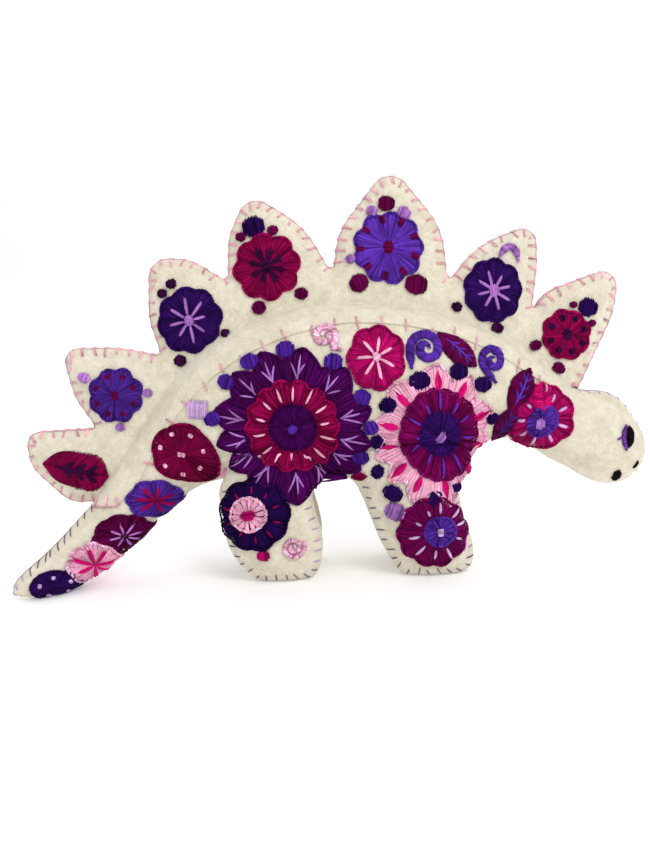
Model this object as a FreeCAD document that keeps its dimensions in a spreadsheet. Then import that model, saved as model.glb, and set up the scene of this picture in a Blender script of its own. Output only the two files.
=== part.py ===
"""Hand-embroidered felt dinosaur: two felt side panels and a belly gusset round a stuffed core,
a stuffed felt crest of seven plates saddled over the back, and the embroidery sewn on both sides.

Frame while drawing: +X towards the snout, +Y towards the animal's left, +Z up, floor at Z = 0,
the sewing mid-plane at Y = 0. The finished pieces are moved by (shift_x, shift_y) so that the
origin lies on the floor under the centre of the whole toy.
"""
import FreeCAD, Part
import math
import os

V = FreeCAD.Vector

# ----------------------------------------------------------------- driving dimensions (mm, degrees)
GENERAL = {
    "shift_x": -4.6,            # puts the toy's centre over the origin
    "shift_y": 6.0,
    "felt": 2.0,                # thickness of the wool felt
    "pile": 1.2,                # how far embroidery stands above the felt
    "yarn": 0.6,                # radius of the edge-stitch yarn
    "stitch_pitch": 5.5,        # spacing of blanket stitches
    "crest_half": 5.0,          # half thickness of a stuffed crest plate
    "crest_fill_half": 3.0,     # half thickness of the stuffing in a plate
    "crest_seam": 3.2,          # felt margin between a plate's edge and its stuffing
    "crest_front": 121.0,       # the top seam shows ahead of this and behind the next
    "crest_rear": -112.0,
    "gusset_half": 18.0,        # half width of the belly gusset
    "gusset_top": 52.0,         # height where the gusset ends inside the legs
    "gusset_rear": -62.0,
    "gusset_front": 76.0,
    "reach": 70.0,              # how far cutting prisms reach to each side
    "far": 200.0,               # half length of the boxes that divide the toy into zones
}

# Sections of the body from snout to tail: centre x, y, z, half height, half width,
# tilt (top leaning back) and swing (tail turning to the animal's right).
STATION_FIELDS = ("x", "y", "z", "tall", "wide", "tilt", "swing")
STATIONS = {
    "nose_tip": (150.2, 0, 51.0, 4.0, 3.2, 0, 0),
    "nose": (147.8, 0, 52.0, 9.4, 8.4, 0, 0),
    "snout": (143.2, 0, 53.6, 16.2, 12.6, 0, 0),
    "face": (136.5, 0, 56.0, 21.2, 15.6, 0, 0),
    "brow": (128.0, 0, 57.6, 21.8, 17.0, 0, 0),
    "cheek": (118.5, 0, 61.2, 20.2, 17.2, 0, 0),
    "nape": (108.0, 0, 67.8, 20.8, 17.8, 0, 0),
    "neck": (95.0, 0, 76.8, 21.6, 19.0, 0, 0),
    "withers": (80.0, 0, 83.0, 25.6, 22.0, 0, 0),
    "chest": (62.0, 0, 83.0, 33.6, 25.0, 0, 0),
    "ribs": (38.0, 0, 83.6, 39.8, 27.5, 0, 0),
    "flank": (10.0, 0, 84.6, 41.2, 28.5, 0, 0),
    "loin": (-15.0, 0, 82.6, 39.6, 28.0, 5, 0),
    "rump": (-36.5, 0, 77.6, 35.6, 25.5, 20, 0),
    "haunch": (-57.0, 0, 66.2, 27.2, 21.0, 38, 2),
    "tail_root": (-75.5, -0.8, 53.6, 18.8, 16.0, 47, 8),
    "tail_upper": (-87.0, -3.0, 42.4, 15.8, 13.2, 49, 18),
    "tail_middle": (-98.5, -8.0, 29.8, 14.2, 11.4, 47, 30),
    "tail_lower": (-110.5, -17.0, 18.8, 12.6, 9.8, 42, 38),
    "tail_bend": (-121.8, -27.0, 10.6, 9.8, 8.0, 30, 40),
    "tail_thin": (-131.8, -34.6, 6.9, 6.3, 5.4, 18, 40),
    "tail_tip": (-138.6, -40.0, 4.8, 2.8, 2.4, 10, 40),
}

# Leg sections, upward from below the floor: height, centre x, centre y, half length, half thickness.
LEG_FIELDS = ("up", "x", "y", "long", "thick")
LEGS = {
    "fore": {
        "base": (-3.0, 47.0, 20.0, 8.0, 4.0),
        "sole": (0.0, 47.0, 20.0, 14.6, 7.6),
        "paw": (4.0, 47.3, 20.0, 18.0, 9.8),
        "ankle": (10.0, 46.0, 19.8, 20.0, 11.0),
        "shin": (20.0, 42.3, 19.2, 21.0, 11.8),
        "knee": (31.0, 39.2, 18.0, 22.0, 12.4),
        "thigh": (43.0, 36.6, 15.5, 25.2, 12.6),
        "joint": (56.0, 36.0, 11.5, 28.0, 12.6),
    },
    "hind": {
        "base": (-3.0, -20.0, 20.0, 5.5, 3.4),
        "sole": (0.0, -20.4, 20.0, 11.6, 6.8),
        "paw": (5.0, -22.0, 20.0, 17.0, 9.6),
        "ankle": (12.0, -24.2, 19.8, 20.8, 11.2),
        "shin": (21.0, -25.8, 19.2, 21.9, 11.8),
        "knee": (32.0, -27.6, 18.0, 21.4, 12.4),
        "thigh": (43.0, -27.0, 15.5, 22.4, 12.6),
        "joint": (56.0, -27.5, 11.5, 25.0, 12.6),
    },
}

# Crest plates: corner points (x, z, corner radius) from the rear notch over the tip to the front
# notch. Neighbouring plates share their notch.
PLATES = {
    "plate_1": [(-86, 41, 0), (-95, 37.5, 3), (-122, 36.5, 14), (-139.5, 54, 15), (-141, 70.3, 6),
                (-107, 71, 1.5)],
    "plate_2": [(-116.5, 86, 25), (-121.5, 109, 6.5), (-95, 108.4, 60), (-74.5, 103.5, 2)],
    "plate_3": [(-79.5, 121, 30), (-78, 149, 9), (-59, 147.5, 20), (-42, 136.5, 2)],
    "plate_4": [(-40.5, 157, 20), (-30.5, 176.5, 8.5), (-5.5, 160, 40), (7, 136.5, 2)],
    "plate_5": [(10, 157, 30), (35, 186.5, 9), (58, 157, 35), (60, 131, 2)],
    "plate_6": [(74, 148, 40), (101.5, 157.5, 8), (101.5, 138, 40), (98, 113.5, 2)],
    "plate_7": [(105, 125.5, 25), (139.5, 136.5, 7.5), (137, 115, 40), (120, 81, 0), (112, 76, 0)],
}
# Line inside the body that closes the crest outline from the head back to the tail.
CREST_ROOT = [(95, 90), (60, 106), (7, 116), (-40, 106), (-66, 84), (-84, 62)]

# Lower edge of the saddle band on the flank, from tail to head.
SADDLE_EDGE = [(-97, 34), (-86, 46), (-78, 60), (-70, 72), (-57, 86), (-46, 95), (-30, 104),
               (-12, 110.5), (12, 114.7), (38, 112.3), (60, 106.5), (78, 98.5), (92, 88.5),
               (100, 83), (107, 80.5), (120, 80.5)]
# The rest of the region over the back that the crest may fill, from head to tail.
SADDLE_TOP = [(128, 91), (145, 112), (145, 200), (-150, 200), (-150, 45), (-125, 33.5), (-112, 33)]

# Round embroidered flowers: centre x, z, half width, half height, number of lobes, lobe depth.
FLOWER_FIELDS = ("x", "z", "wide", "tall", "lobes", "depth")
FLOWERS = {
    "plate_2_flower": (-96.3, 86.3, 12.6, 12.6, 8, 0.10),
    "plate_3_flower": (-60.0, 119.3, 15.0, 15.0, 8, 0.08),
    "plate_4_flower": (-23.3, 142.1, 15.2, 15.2, 8, 0.12),
    "plate_5_flower": (32.6, 148.3, 16.0, 16.0, 9, 0.10),
    "plate_6_flower": (80.0, 126.8, 12.8, 14.6, 8, 0.08),
    "plate_7_flower": (113.5, 105.3, 11.2, 11.4, 8, 0.08),
    "hip_flower": (-14.3, 70.0, 33.5, 32.0, 13, 0.14),
    "shoulder_flower": (47.5, 63.5, 26.5, 29.5, 12, 0.16),
    "back_flower": (23.9, 98.3, 12.2, 13.6, 7, 0.08),
    "neck_flower": (98.5, 68.0, 14.4, 14.4, 8, 0.06),
    "rump_patch": (-62.5, 59.5, 13.6, 12.8, 6, 0.04),
    "tail_flower_1": (-80.0, 38.3, 11.0, 8.8, 6, 0.05),
    "tail_flower_2": (-94.4, 22.8, 10.4, 9.0, 6, 0.05),
    "tail_flower_3": (-107.0, 13.2, 8.6, 8.4, 6, 0.05),
    "tail_patch": (-121.4, 5.6, 7.6, 4.6, 4, 0.04),
    "hind_leg_flower": (-32.0, 31.0, 15.6, 15.0, 9, 0.06),
    "fore_leg_flower": (46.2, 20.6, 15.2, 14.6, 10, 0.08),
}
# Flowers that lie partly on another one cut it back.
OVERLAID = {"hip_flower": ["hind_leg_flower", "back_flower"], "shoulder_flower": ["fore_leg_flower"]}

# Small motifs sewn in groups, each one: centre x, z, half length, half width, turn.
LEAF_GROUPS = {
    "plate_1_leaf": [(-117.4, 52.6, 15.0, 8.6, -14)],
    "flank_leaves": [(60.1, 100.0, 10.6, 4.6, -44), (86.0, 83.0, 9.0, 4.4, -56), (79.0, 71.5, 7.4, 2.6, -60)],
    "spiral_stitches": [(2.8, 109.0, 6.4, 5.6, 0), (41.6, 102.4, 8.2, 7.0, 0), (74.8, 93.0, 7.4, 5.2, 70),
                        (-15.0, 13.5, 4.6, 4.4, 0)],
    "eye": [(139.0, 57.3, 5.0, 2.1, 90)],
    "face_stitches": [(135.4, 39.4, 2.4, 1.6, 90), (144.0, 43.6, 2.0, 0.9, 60)],
}
# Satin-stitched dots: centre x, z, radius.
PLATE_DOTS = [
    (-110.6, 95.1, 2.5), (-81.4, 86.8, 2.1), (-95.0, 71.5, 1.9), (-67.3, 136.3, 2.3), (-71.9, 132.0, 2.1),
    (-43.6, 115.4, 2.1), (-65.4, 101.1, 2.7), (-28.5, 160.6, 4.6), (-20.0, 158.4, 2.2), (-8.0, 128.6, 2.9),
    (-27.9, 123.6, 3.1), (32.4, 168.3, 3.6), (18.4, 131.2, 4.2), (45.2, 130.0, 4.8), (25.4, 165.6, 2.4),
    (40.4, 164.0, 2.8), (14.2, 144.1, 2.0), (62.9, 120.2, 2.2), (81.6, 109.4, 2.5), (88.6, 145.4, 2.3),
    (123.7, 117.6, 4.2), (125.6, 109.8, 1.6), (98.8, 101.0, 2.5), (109.4, 90.4, 2.7)]
FLANK_DOTS = [
    (-33.0, 100.6, 3.3), (-15.9, 106.2, 3.3), (7.0, 97.5, 3.5), (-46.0, 91.0, 3.3), (18.6, 80.6, 2.6),
    (-52.2, 77.6, 4.0), (23.0, 69.0, 2.4), (41.0, 92.2, 2.8), (59.7, 91.0, 3.2), (70.2, 84.6, 3.0),
    (22.9, 59.6, 2.4), (22.4, 47.4, 3.1), (29.0, 37.4, 3.0), (77.4, 64.2, 2.6), (28.2, 29.6, 2.4),
    (-26.0, 13.0, 2.6)]

SHEET_COLUMNS = "ABCDEFGHIJ"


def fill_sheet(document):
    """Write every driving dimension into the spreadsheet, one named row per object."""
    table = document.addObject("Spreadsheet::Sheet", "Dimensions")
    row = [1]

    def write_row(values):
        for column, (alias, value) in zip(SHEET_COLUMNS, values):
            address = f"{column}{row[0]}"
            table.set(address, repr(float(value)))
            table.setAlias(address, alias)
        row[0] += 1

    for alias, value in GENERAL.items():
        write_row([(alias, value)])
    for name, values in STATIONS.items():
        write_row([(f"{name}_{field}", value) for field, value in zip(STATION_FIELDS, values)])
    for leg, sections in LEGS.items():
        for section, values in sections.items():
            write_row([(f"{leg}_{section}_{field}", value) for field, value in zip(LEG_FIELDS, values)])
    for name, values in FLOWERS.items():
        write_row([(f"{name}_{field}", value) for field, value in zip(FLOWER_FIELDS, values)])
    document.recompute()
    return table


doc = FreeCAD.newDocument("Stuffed_dinosaur")
sheet = fill_sheet(doc)


def dim(alias):
    """A driving dimension as a number."""
    return float(sheet.get(alias))


def bind(item, prop, expression):
    """Bind one property to an expression in which @name stands for a cell of the sheet."""
    item.setExpression(prop, expression.replace("@", "Dimensions."))


# ------------------------------------------------------------------------------- lofted volumes
def section_frame(name):
    """Rotation of a body section, whose first axis points down, and the unit vector ahead."""
    tilt = math.radians(dim(f"{name}_tilt"))
    swing = math.radians(dim(f"{name}_swing"))
    down = V(math.sin(tilt) * math.cos(swing), math.sin(tilt) * math.sin(swing), -math.cos(tilt))
    ahead = V(math.cos(tilt) * math.cos(swing), math.cos(tilt) * math.sin(swing), math.sin(tilt))
    return FreeCAD.Rotation(down, ahead.cross(down), ahead, "ZXY"), ahead


def ellipse(name, major, minor):
    """An ellipse whose radii are bound to the sheet."""
    curve = doc.addObject("Part::Ellipse", name)
    bind(curve, "MajorRadius", major)
    bind(curve, "MinorRadius", minor)
    return curve


def loft(name, sections):
    """A smooth closed solid through a list of section curves."""
    solid = doc.addObject("Part::Loft", name)
    solid.Sections = sections
    solid.Solid = True
    solid.Ruled = False
    return solid


def body_volume(name, offset):
    """The head, trunk and tail grown by an offset, which is an expression in the sheet's cells."""
    ends = {"nose_tip": 1.0, "tail_tip": -1.0}
    curves = []
    for station in STATIONS:
        curve = ellipse(f"{name}_{station}", f"@{station}_tall + {offset}", f"@{station}_wide + {offset}")
        rotation, ahead = section_frame(station)
        curve.Placement = FreeCAD.Placement(V(0, 0, 0), rotation)
        step = ahead * ends.get(station, 0.0)
        for axis, along in zip("xyz", step):
            bind(curve, f"Placement.Base.{axis}", f"@{station}_{axis} + ({along:.4f}) * ({offset})")
        curves.append(curve)
    return loft(name, curves)


def leg_volume(name, leg, side, offset):
    """One leg grown by an offset; side is -1 for the animal's right and 1 for its left."""
    curves = []
    for section in LEGS[leg]:
        root = f"@{leg}_{section}"
        curve = ellipse(f"{name}_{section}", f"{root}_long + {offset}", f"{root}_thick + {offset}")
        bind(curve, "Placement.Base.x", f"{root}_x")
        bind(curve, "Placement.Base.y", f"{side} * {root}_y")
        bind(curve, "Placement.Base.z", f"{root}_up")
        curves.append(curve)
    return loft(name, curves)


def box(name, low, high):
    """A box between two corners, each coordinate an expression."""
    block = doc.addObject("Part::Box", name)
    for axis, size, start, end in zip("xyz", ("Length", "Width", "Height"), low, high):
        bind(block, size, f"({end}) - ({start})")
        bind(block, f"Placement.Base.{axis}", start)
    return block


def boolean(kind, name, parts):
    """A Part boolean: Cut takes (base, tool), the others any number of shapes."""
    result = doc.addObject(f"Part::{kind}", name)
    if kind == "Cut":
        result.Base, result.Tool = parts
    else:
        result.Shapes = parts
    return result


def standing_volume(name, offset, floor):
    """Body and four legs grown by an offset, fused and cut level with the given height."""
    solids = [body_volume(f"{name}_body", offset)]
    for leg in LEGS:
        for side, label in ((-1, "right"), (1, "left")):
            solids.append(leg_volume(f"{name}_{leg}_{label}", leg, side, offset))
    whole = boolean("MultiFuse", f"{name}_whole", solids)
    ground = box(f"{name}_ground", ("-@far", "-@far", "-20"), ("@far", "@far", floor))
    return boolean("Cut", name, [whole, ground])


outer = standing_volume("outer", "0", "0")
core = standing_volume("core", "(-@felt)", "@felt")
raised = standing_volume("raised", "@pile", "0")
saddle_outer = body_volume("saddle_outer", "@felt")


# ------------------------------------------------------------------------------- flat outlines
def rounded_outline(corners):
    """Closed wire through (x, z, radius) corners in the plane Y = 0, each corner an arc."""
    edges = []
    count = len(corners)
    joints = []
    for index, (x, z, radius) in enumerate(corners):
        here = V(x, 0, z)
        back = (V(corners[index - 1][0], 0, corners[index - 1][1]) - here)
        ahead = (V(corners[(index + 1) % count][0], 0, corners[(index + 1) % count][1]) - here)
        if radius == 0:
            joints.append((here, None, here))
            continue
        half = back.getAngle(ahead) / 2
        reach = min(radius / math.tan(half), back.Length * 0.48, ahead.Length * 0.48)
        bow = reach * math.tan(half)
        middle = here + (back.normalize() + ahead.normalize()).normalize() * (bow / math.sin(half) - bow)
        joints.append((here + back * reach, middle, here + ahead * reach))
    for index, (start, middle, end) in enumerate(joints):
        if middle is not None:
            edges.append(Part.Arc(start, middle, end).toShape())
        following = joints[(index + 1) % count][0]
        if end.distanceToPoint(following) > 1e-6:
            edges.append(Part.LineSegment(end, following).toShape())
    return Part.Wire(Part.__sortEdges__(edges))


def flat_shape(name, shape, place=None):
    """A drawn outline or face kept as a document object."""
    item = doc.addObject("Part::Feature", name)
    item.Shape = shape
    if place is not None:
        item.Placement = place
    return item


def prism(name, source, low, high):
    """Extrude a flat shape of the XZ plane along Y between two expressions."""
    solid = doc.addObject("Part::Extrusion", name)
    solid.Base = source
    solid.DirMode = "Custom"
    solid.Dir = V(0, 1, 0)
    solid.Solid = True
    bind(solid, "LengthFwd", high)
    bind(solid, "LengthRev", f"-({low})")
    return solid


crest_corners = [corner for corners in PLATES.values() for corner in corners]
crest_corners += [(x, z, 0) for x, z in CREST_ROOT]
crest_face = flat_shape("crest_face", Part.Face(rounded_outline(crest_corners)))
saddle_corners = [(x, z, 0) for x, z in SADDLE_EDGE + SADDLE_TOP]
saddle_face = flat_shape("saddle_face", Part.Face(rounded_outline(saddle_corners)))

# The split between the right and the left half follows the tail as it swings to the right.
seam_points = [V(dim(f"{name}_x"), dim(f"{name}_y"), 0) for name in STATIONS]
far = dim("far")
seam_points = [V(far, 0, 0)] + seam_points + [V(-far, 2 * dim("tail_tip_y"), 0)]


def half_space(name, side):
    """Everything on one side of the sewing mid-surface."""
    outside = [V(-far, side * far, 0), V(far, side * far, 0)]
    wire = Part.makePolygon(seam_points + outside + [seam_points[0]])
    outline = flat_shape(f"{name}_outline", Part.Face(wire))
    solid = doc.addObject("Part::Extrusion", name)
    solid.Base = outline
    solid.DirMode = "Custom"
    solid.Dir = V(0, 0, 1)
    solid.LengthFwd = far
    solid.LengthRev = 20
    solid.Solid = True
    return solid


halves = {"right": half_space("right_half", -1), "left": half_space("left_half", 1)}

# --------------------------------------------------------------------------------- felt pieces
gusset_zone = box("gusset_zone", ("@gusset_rear", "-@gusset_half", "-5"),
                  ("@gusset_front", "@gusset_half", "@gusset_top"))
shell = boolean("Cut", "shell", [outer, core])
pieces = {}
pieces["belly_gusset"] = boolean("MultiCommon", "belly_gusset_piece", [shell, gusset_zone])
side_felt = boolean("Cut", "side_felt", [shell, gusset_zone])
for side, half in halves.items():
    pieces[f"side_panel_{side}"] = boolean("MultiCommon", f"side_panel_{side}_piece", [side_felt, half])
pieces["body_stuffing"] = core

# The crest: a flat stuffed pocket along the plates, and a saddle band lying on the back.
saddle_prism = prism("saddle_prism", saddle_face, "-@reach", "@reach")
crest_slab = prism("crest_slab", crest_face, "-@crest_half", "@crest_half")
crest_on_back = boolean("MultiFuse", "crest_on_back", [crest_slab, saddle_outer])
crest_region = boolean("MultiCommon", "crest_region", [crest_on_back, saddle_prism])
crest_mass = boolean("Cut", "crest_mass", [crest_region, outer])
pocket_face = doc.addObject("Part::Offset2D", "pocket_face")
pocket_face.Source = crest_face
pocket_face.Join = "Arc"
bind(pocket_face, "Value", "-@crest_seam")
pocket = prism("pocket", pocket_face, "-@crest_fill_half", "@crest_fill_half")
back_solid = boolean("MultiFuse", "back_solid", [saddle_outer, outer])
crest_fill = boolean("Cut", "crest_fill", [pocket, back_solid])
crest_felt = boolean("Cut", "crest_felt", [crest_mass, crest_fill])
pieces["crest_stuffing"] = crest_fill
for side, low, high in (("right", "-@reach", "0"), ("left", "0", "@reach")):
    zone = box(f"crest_{side}_zone", ("-@far", low, "0"), ("@far", high, "@far"))
    pieces[f"crest_panel_{side}"] = boolean("MultiCommon", f"crest_panel_{side}_piece", [crest_felt, zone])

# ------------------------------------------------------------------------------- embroidery
def lobed_face(wide, tall, lobes, depth):
    """A flower outline in local XY: equal arcs that bulge between shallow valleys."""
    def at(turn, reach):
        angle = 2 * math.pi * turn / lobes
        return V(wide * reach * math.cos(angle), tall * reach * math.sin(angle), 0)
    edges = [Part.Arc(at(i - 0.5, 1 - depth), at(i, 1), at(i + 0.5, 1 - depth)).toShape()
             for i in range(lobes)]
    return Part.Face(Part.Wire(edges))


def leaf_face(long, wide, turn):
    """A pointed leaf of two arcs about the origin of local XY."""
    ends = V(-long, 0, 0), V(long, 0, 0)
    face = Part.Face(Part.Wire([Part.Arc(ends[0], V(0, wide, 0), ends[1]).toShape(),
                                Part.Arc(ends[1], V(0, -wide, 0), ends[0]).toShape()]))
    face.rotate(V(0, 0, 0), V(0, 0, 1), turn)
    return face


UPRIGHT = FreeCAD.Rotation(V(1, 0, 0), 90)      # turns local XY into the XZ plane


def standing_face(name, face, x_expression, z_expression):
    """Stand a flat face up in the XZ plane at a place given by two expressions."""
    item = flat_shape(name, face, FreeCAD.Placement(V(0, 0, 0), UPRIGHT))
    bind(item, "Placement.Base.x", x_expression)
    bind(item, "Placement.Base.z", z_expression)
    return item


def group_faces(faces_at):
    """Compound of faces, each moved to its own (x, z)."""
    faces = []
    for face, x, z in faces_at:
        face.translate(V(x, z, 0))
        faces.append(face)
    return Part.makeCompound(faces)


motif_faces = {}
for name in FLOWERS:
    wide, tall, lobes, depth = (dim(f"{name}_{field}") for field in FLOWER_FIELDS[2:])
    motif_faces[name] = standing_face(f"{name}_face", lobed_face(wide, tall, int(lobes), depth),
                                      f"@{name}_x", f"@{name}_z")
for name, leaves in LEAF_GROUPS.items():
    faces = group_faces([(leaf_face(long, wide, turn), x, z) for x, z, long, wide, turn in leaves])
    motif_faces[name] = standing_face(f"{name}_face", faces, "0", "0")
for name, dots in (("plate_dots", PLATE_DOTS), ("flank_dots", FLANK_DOTS)):
    faces = group_faces([(Part.Face(Part.Wire(Part.makeCircle(radius))), x, z) for x, z, radius in dots])
    motif_faces[name] = standing_face(f"{name}_face", faces, "0", "0")


def plate_motif(name, side):
    """Embroidery on the flat side of a crest plate, trimmed where the saddle band rises."""
    low, high = ("@crest_half", "@crest_half + @pile")
    if side == "right":
        low, high = f"-({high})", f"-({low})"
    pad = prism(f"{name}_{side}_pad", motif_faces[name], low, high)
    return boolean("Cut", f"{name}_{side}_piece", [pad, saddle_outer])


def body_motif(name, side):
    """Embroidery that follows the curved flank, leg or tail, one pile height thick."""
    solid = prism(f"{name}_{side}_prism", motif_faces[name], "-@reach", "@reach")
    for other in OVERLAID.get(name, []):
        tool = prism(f"{name}_{side}_{other}", motif_faces[other], "-@reach", "@reach")
        solid = boolean("Cut", f"{name}_{side}_less_{other}", [solid, tool])
    beside = boolean("Cut", f"{name}_{side}_beside", [solid, gusset_zone])
    flank = boolean("MultiCommon", f"{name}_{side}_flank", [beside, halves[side]])
    grown = boolean("MultiCommon", f"{name}_{side}_grown", [flank, raised])
    layer = boolean("Cut", f"{name}_{side}_layer", [grown, outer])
    return boolean("Cut", f"{name}_{side}_piece", [layer, crest_region])


for name in motif_faces:
    make_motif = plate_motif if name.startswith("plate_") else body_motif
    for side in halves:
        pieces[f"{name}_{side}"] = make_motif(name, side)


# ------------------------------------------------------------------------------- edge stitches
def cross_bar(point, half_length):
    """A short yarn bar lying across a seam, along Y."""
    return Part.makeCylinder(dim("yarn"), 2 * half_length, point - V(0, half_length, 0), V(0, 1, 0))


def crest_stitches():
    """Blanket-stitch bars along the free edge of the crest plates."""
    wire = crest_face.Shape.OuterWire
    bars = []
    inside = crest_face.Shape
    for point in wire.discretize(Distance=dim("stitch_pitch")):
        near = min(wire.Edges, key=lambda edge: edge.distToShape(Part.Vertex(point))[0])
        tangent = near.tangentAt(near.Curve.parameter(point))
        outward = V(tangent.z, 0, -tangent.x).normalize()
        if inside.isInside(point + outward * 0.4, 1e-3, True):
            outward = outward * -1
        buried = outer.Shape.isInside(point, 1e-3, True) or saddle_outer.Shape.isInside(point, 1e-3, True)
        if not buried:
            bars.append(cross_bar(point + outward * dim("yarn"), dim("crest_half")))
    return bars


def ridge_stitches():
    """Whip-stitch bars over the top seam of the head and of the tail."""
    outline = Part.BSplineCurve()
    tops = []
    for name in STATIONS:
        rotation, _ = section_frame(name)
        centre = V(*(dim(f"{name}_{axis}") for axis in "xyz"))
        tops.append(centre - rotation.multVec(V(dim(f"{name}_tall") + dim("yarn"), 0, 0)))
    outline.interpolate(tops)
    bars = []
    for point in outline.toShape().discretize(Distance=dim("stitch_pitch")):
        if point.x > dim("crest_front") or point.x < dim("crest_rear"):
            bars.append(cross_bar(point, 2 * dim("felt")))
    return bars


def leg_stitches():
    """Whip-stitch bars down the front and back edge of each leg, over the gusset seam."""
    bars = []
    for leg, sections in LEGS.items():
        heights = [name for name in sections if name not in ("base", "joint", "thigh")]
        for name in heights:
            for edge in (-1, 1):
                x = dim(f"{leg}_{name}_x") + edge * (dim(f"{leg}_{name}_long") + dim("yarn"))
                z = max(dim(f"{leg}_{name}_up"), 2 * dim("yarn"))
                for side in (-1, 1):
                    bars.append(cross_bar(V(x, side * dim("gusset_half"), z), dim("felt")))
    return bars


def saddle_stitches():
    """Tacking stitches over the saddle's lower edge on both flanks."""
    bars = []
    edge = Part.makePolygon([V(x, 0, z) for x, z in SADDLE_EDGE])
    for point in edge.discretize(Distance=2 * dim("stitch_pitch"))[1:-1]:
        for side in (-1, 1):
            ray = Part.LineSegment(point, point + V(0, side * dim("reach"), 0)).toShape()
            hits = saddle_outer.Shape.section(ray).Vertexes
            if hits:
                spot = max((vertex.Point for vertex in hits), key=lambda hit: abs(hit.y))
                reach = dim("felt")
                bars.append(Part.makeCylinder(dim("yarn"), 2 * reach, spot - V(0, 0, reach), V(0, 0, 1)))
    return bars


doc.recompute()
for name, maker in (("crest_blanket_stitch", crest_stitches), ("body_whip_stitch", ridge_stitches),
                    ("leg_whip_stitch", leg_stitches), ("saddle_tacking", saddle_stitches)):
    pieces[name] = flat_shape(f"{name}_piece", Part.makeCompound(maker()))

# ---------------------------------------------------------------------- finished, named pieces
finished = []
for name, source in pieces.items():
    item = doc.addObject("Part::Compound", name)
    item.Links = [source]
    item.Label = name
    bind(item, "Placement.Base.x", "@shift_x")
    bind(item, "Placement.Base.y", "@shift_y")
    finished.append(item)
doc.recompute()

for item in doc.Objects:
    if "Invalid" in item.State or "Error" in item.State:
        raise RuntimeError(f"{item.Name} failed: {item.State}")
for item in finished:
    if item.Shape.isNull() or not item.Shape.isValid() or not item.Shape.Solids:
        raise RuntimeError(f"{item.Label} has no valid solid")

os.makedirs("parts", exist_ok=True)
for item in finished:
    item.Shape.exportStep(f"parts/{item.Label}.step")
whole = Part.makeCompound([item.Shape for item in finished]).BoundBox
print(f"{len(finished)} pieces, {whole.XLength:.1f} x {whole.YLength:.1f} x {whole.ZLength:.1f} mm, "
      f"centre {whole.Center.x:.2f}, {whole.Center.y:.2f}, lowest {whole.ZMin:.2f}")
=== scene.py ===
import math
from functools import partial

import bpy
import numpy as np
from mathutils import Matrix, Vector, noise
from mathutils.bvhtree import BVHTree
from mathutils.geometry import delaunay_2d_cdt
from mathutils.kdtree import KDTree


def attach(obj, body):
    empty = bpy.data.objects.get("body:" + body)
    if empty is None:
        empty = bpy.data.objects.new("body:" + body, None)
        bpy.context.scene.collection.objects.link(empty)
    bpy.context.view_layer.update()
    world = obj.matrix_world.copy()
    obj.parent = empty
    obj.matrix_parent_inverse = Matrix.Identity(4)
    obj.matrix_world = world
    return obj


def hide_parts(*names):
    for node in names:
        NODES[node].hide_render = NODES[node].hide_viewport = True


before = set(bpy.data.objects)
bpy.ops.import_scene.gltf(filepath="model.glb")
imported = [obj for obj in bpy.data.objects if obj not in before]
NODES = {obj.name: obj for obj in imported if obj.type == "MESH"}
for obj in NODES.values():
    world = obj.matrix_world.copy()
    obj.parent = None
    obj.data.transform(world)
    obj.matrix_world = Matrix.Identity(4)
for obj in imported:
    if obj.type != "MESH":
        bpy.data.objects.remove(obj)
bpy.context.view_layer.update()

MM = 0.001
SEW = np.array([-4.6, 6.0, 0.0])        # the sewing frame's origin in the row frame
SIDES = {"right": -1, "left": 1}
FELT = 2.0                              # thickness of the wool felt
rng = np.random.default_rng(11)


def srgb(red, green, blue):
    """A colour named by its 0-255 screen values, as linear light."""
    values = np.array([red, green, blue]) / 255.0
    return np.where(values <= 0.04045, values / 12.92, ((values + 0.055) / 1.055) ** 2.4)


FELT_CREAM = srgb(236, 228, 207)
VIOLET = srgb(86, 45, 158)
BLUE_VIOLET = srgb(72, 32, 140)
INDIGO = srgb(46, 12, 88)
NAVY = srgb(36, 6, 74)
PLUM = srgb(52, 8, 54)
GRAPE = srgb(80, 4, 90)
DEEP_PURPLE = srgb(66, 2, 80)
BURGUNDY = srgb(96, 2, 66)
CRIMSON = srgb(128, 3, 65)
MAGENTA = srgb(172, 8, 96)
HOT_PINK = srgb(206, 14, 112)
PALE_PINK = srgb(246, 180, 208)
EDGE_PINK = srgb(234, 180, 192)
LILAC = srgb(172, 116, 196)
PALE_LILAC = srgb(206, 170, 218)
SMOKE = srgb(124, 104, 132)
BLACK = srgb(20, 15, 20)
EYE_VIOLET = srgb(122, 62, 164)


# ------------------------------------------------------------------------------------- body skin
def unit(rows):
    """Each row scaled to length one."""
    return rows / np.linalg.norm(rows, axis=-1, keepdims=True)


def vertex_array(mesh):
    co = np.empty(len(mesh.vertices) * 3, np.float32)
    mesh.vertices.foreach_get("co", co)
    return co.reshape(-1, 3).astype(float)


def remeshed(node, voxel):
    """The CAD solid of one node in the sewing frame, rebuilt as an even quad mesh."""
    mesh = NODES[node].data.copy()
    co = vertex_array(mesh) / MM - SEW
    mesh.vertices.foreach_set("co", co.astype(np.float32).ravel())
    holder = bpy.data.objects.new("remesh_holder", mesh)
    bpy.context.scene.collection.objects.link(holder)
    modifier = holder.modifiers.new("even", "REMESH")
    modifier.mode = "VOXEL"
    modifier.voxel_size = voxel
    evaluated = holder.evaluated_get(bpy.context.evaluated_depsgraph_get())
    even = bpy.data.meshes.new_from_object(evaluated)
    bpy.data.objects.remove(holder)
    return even


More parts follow.
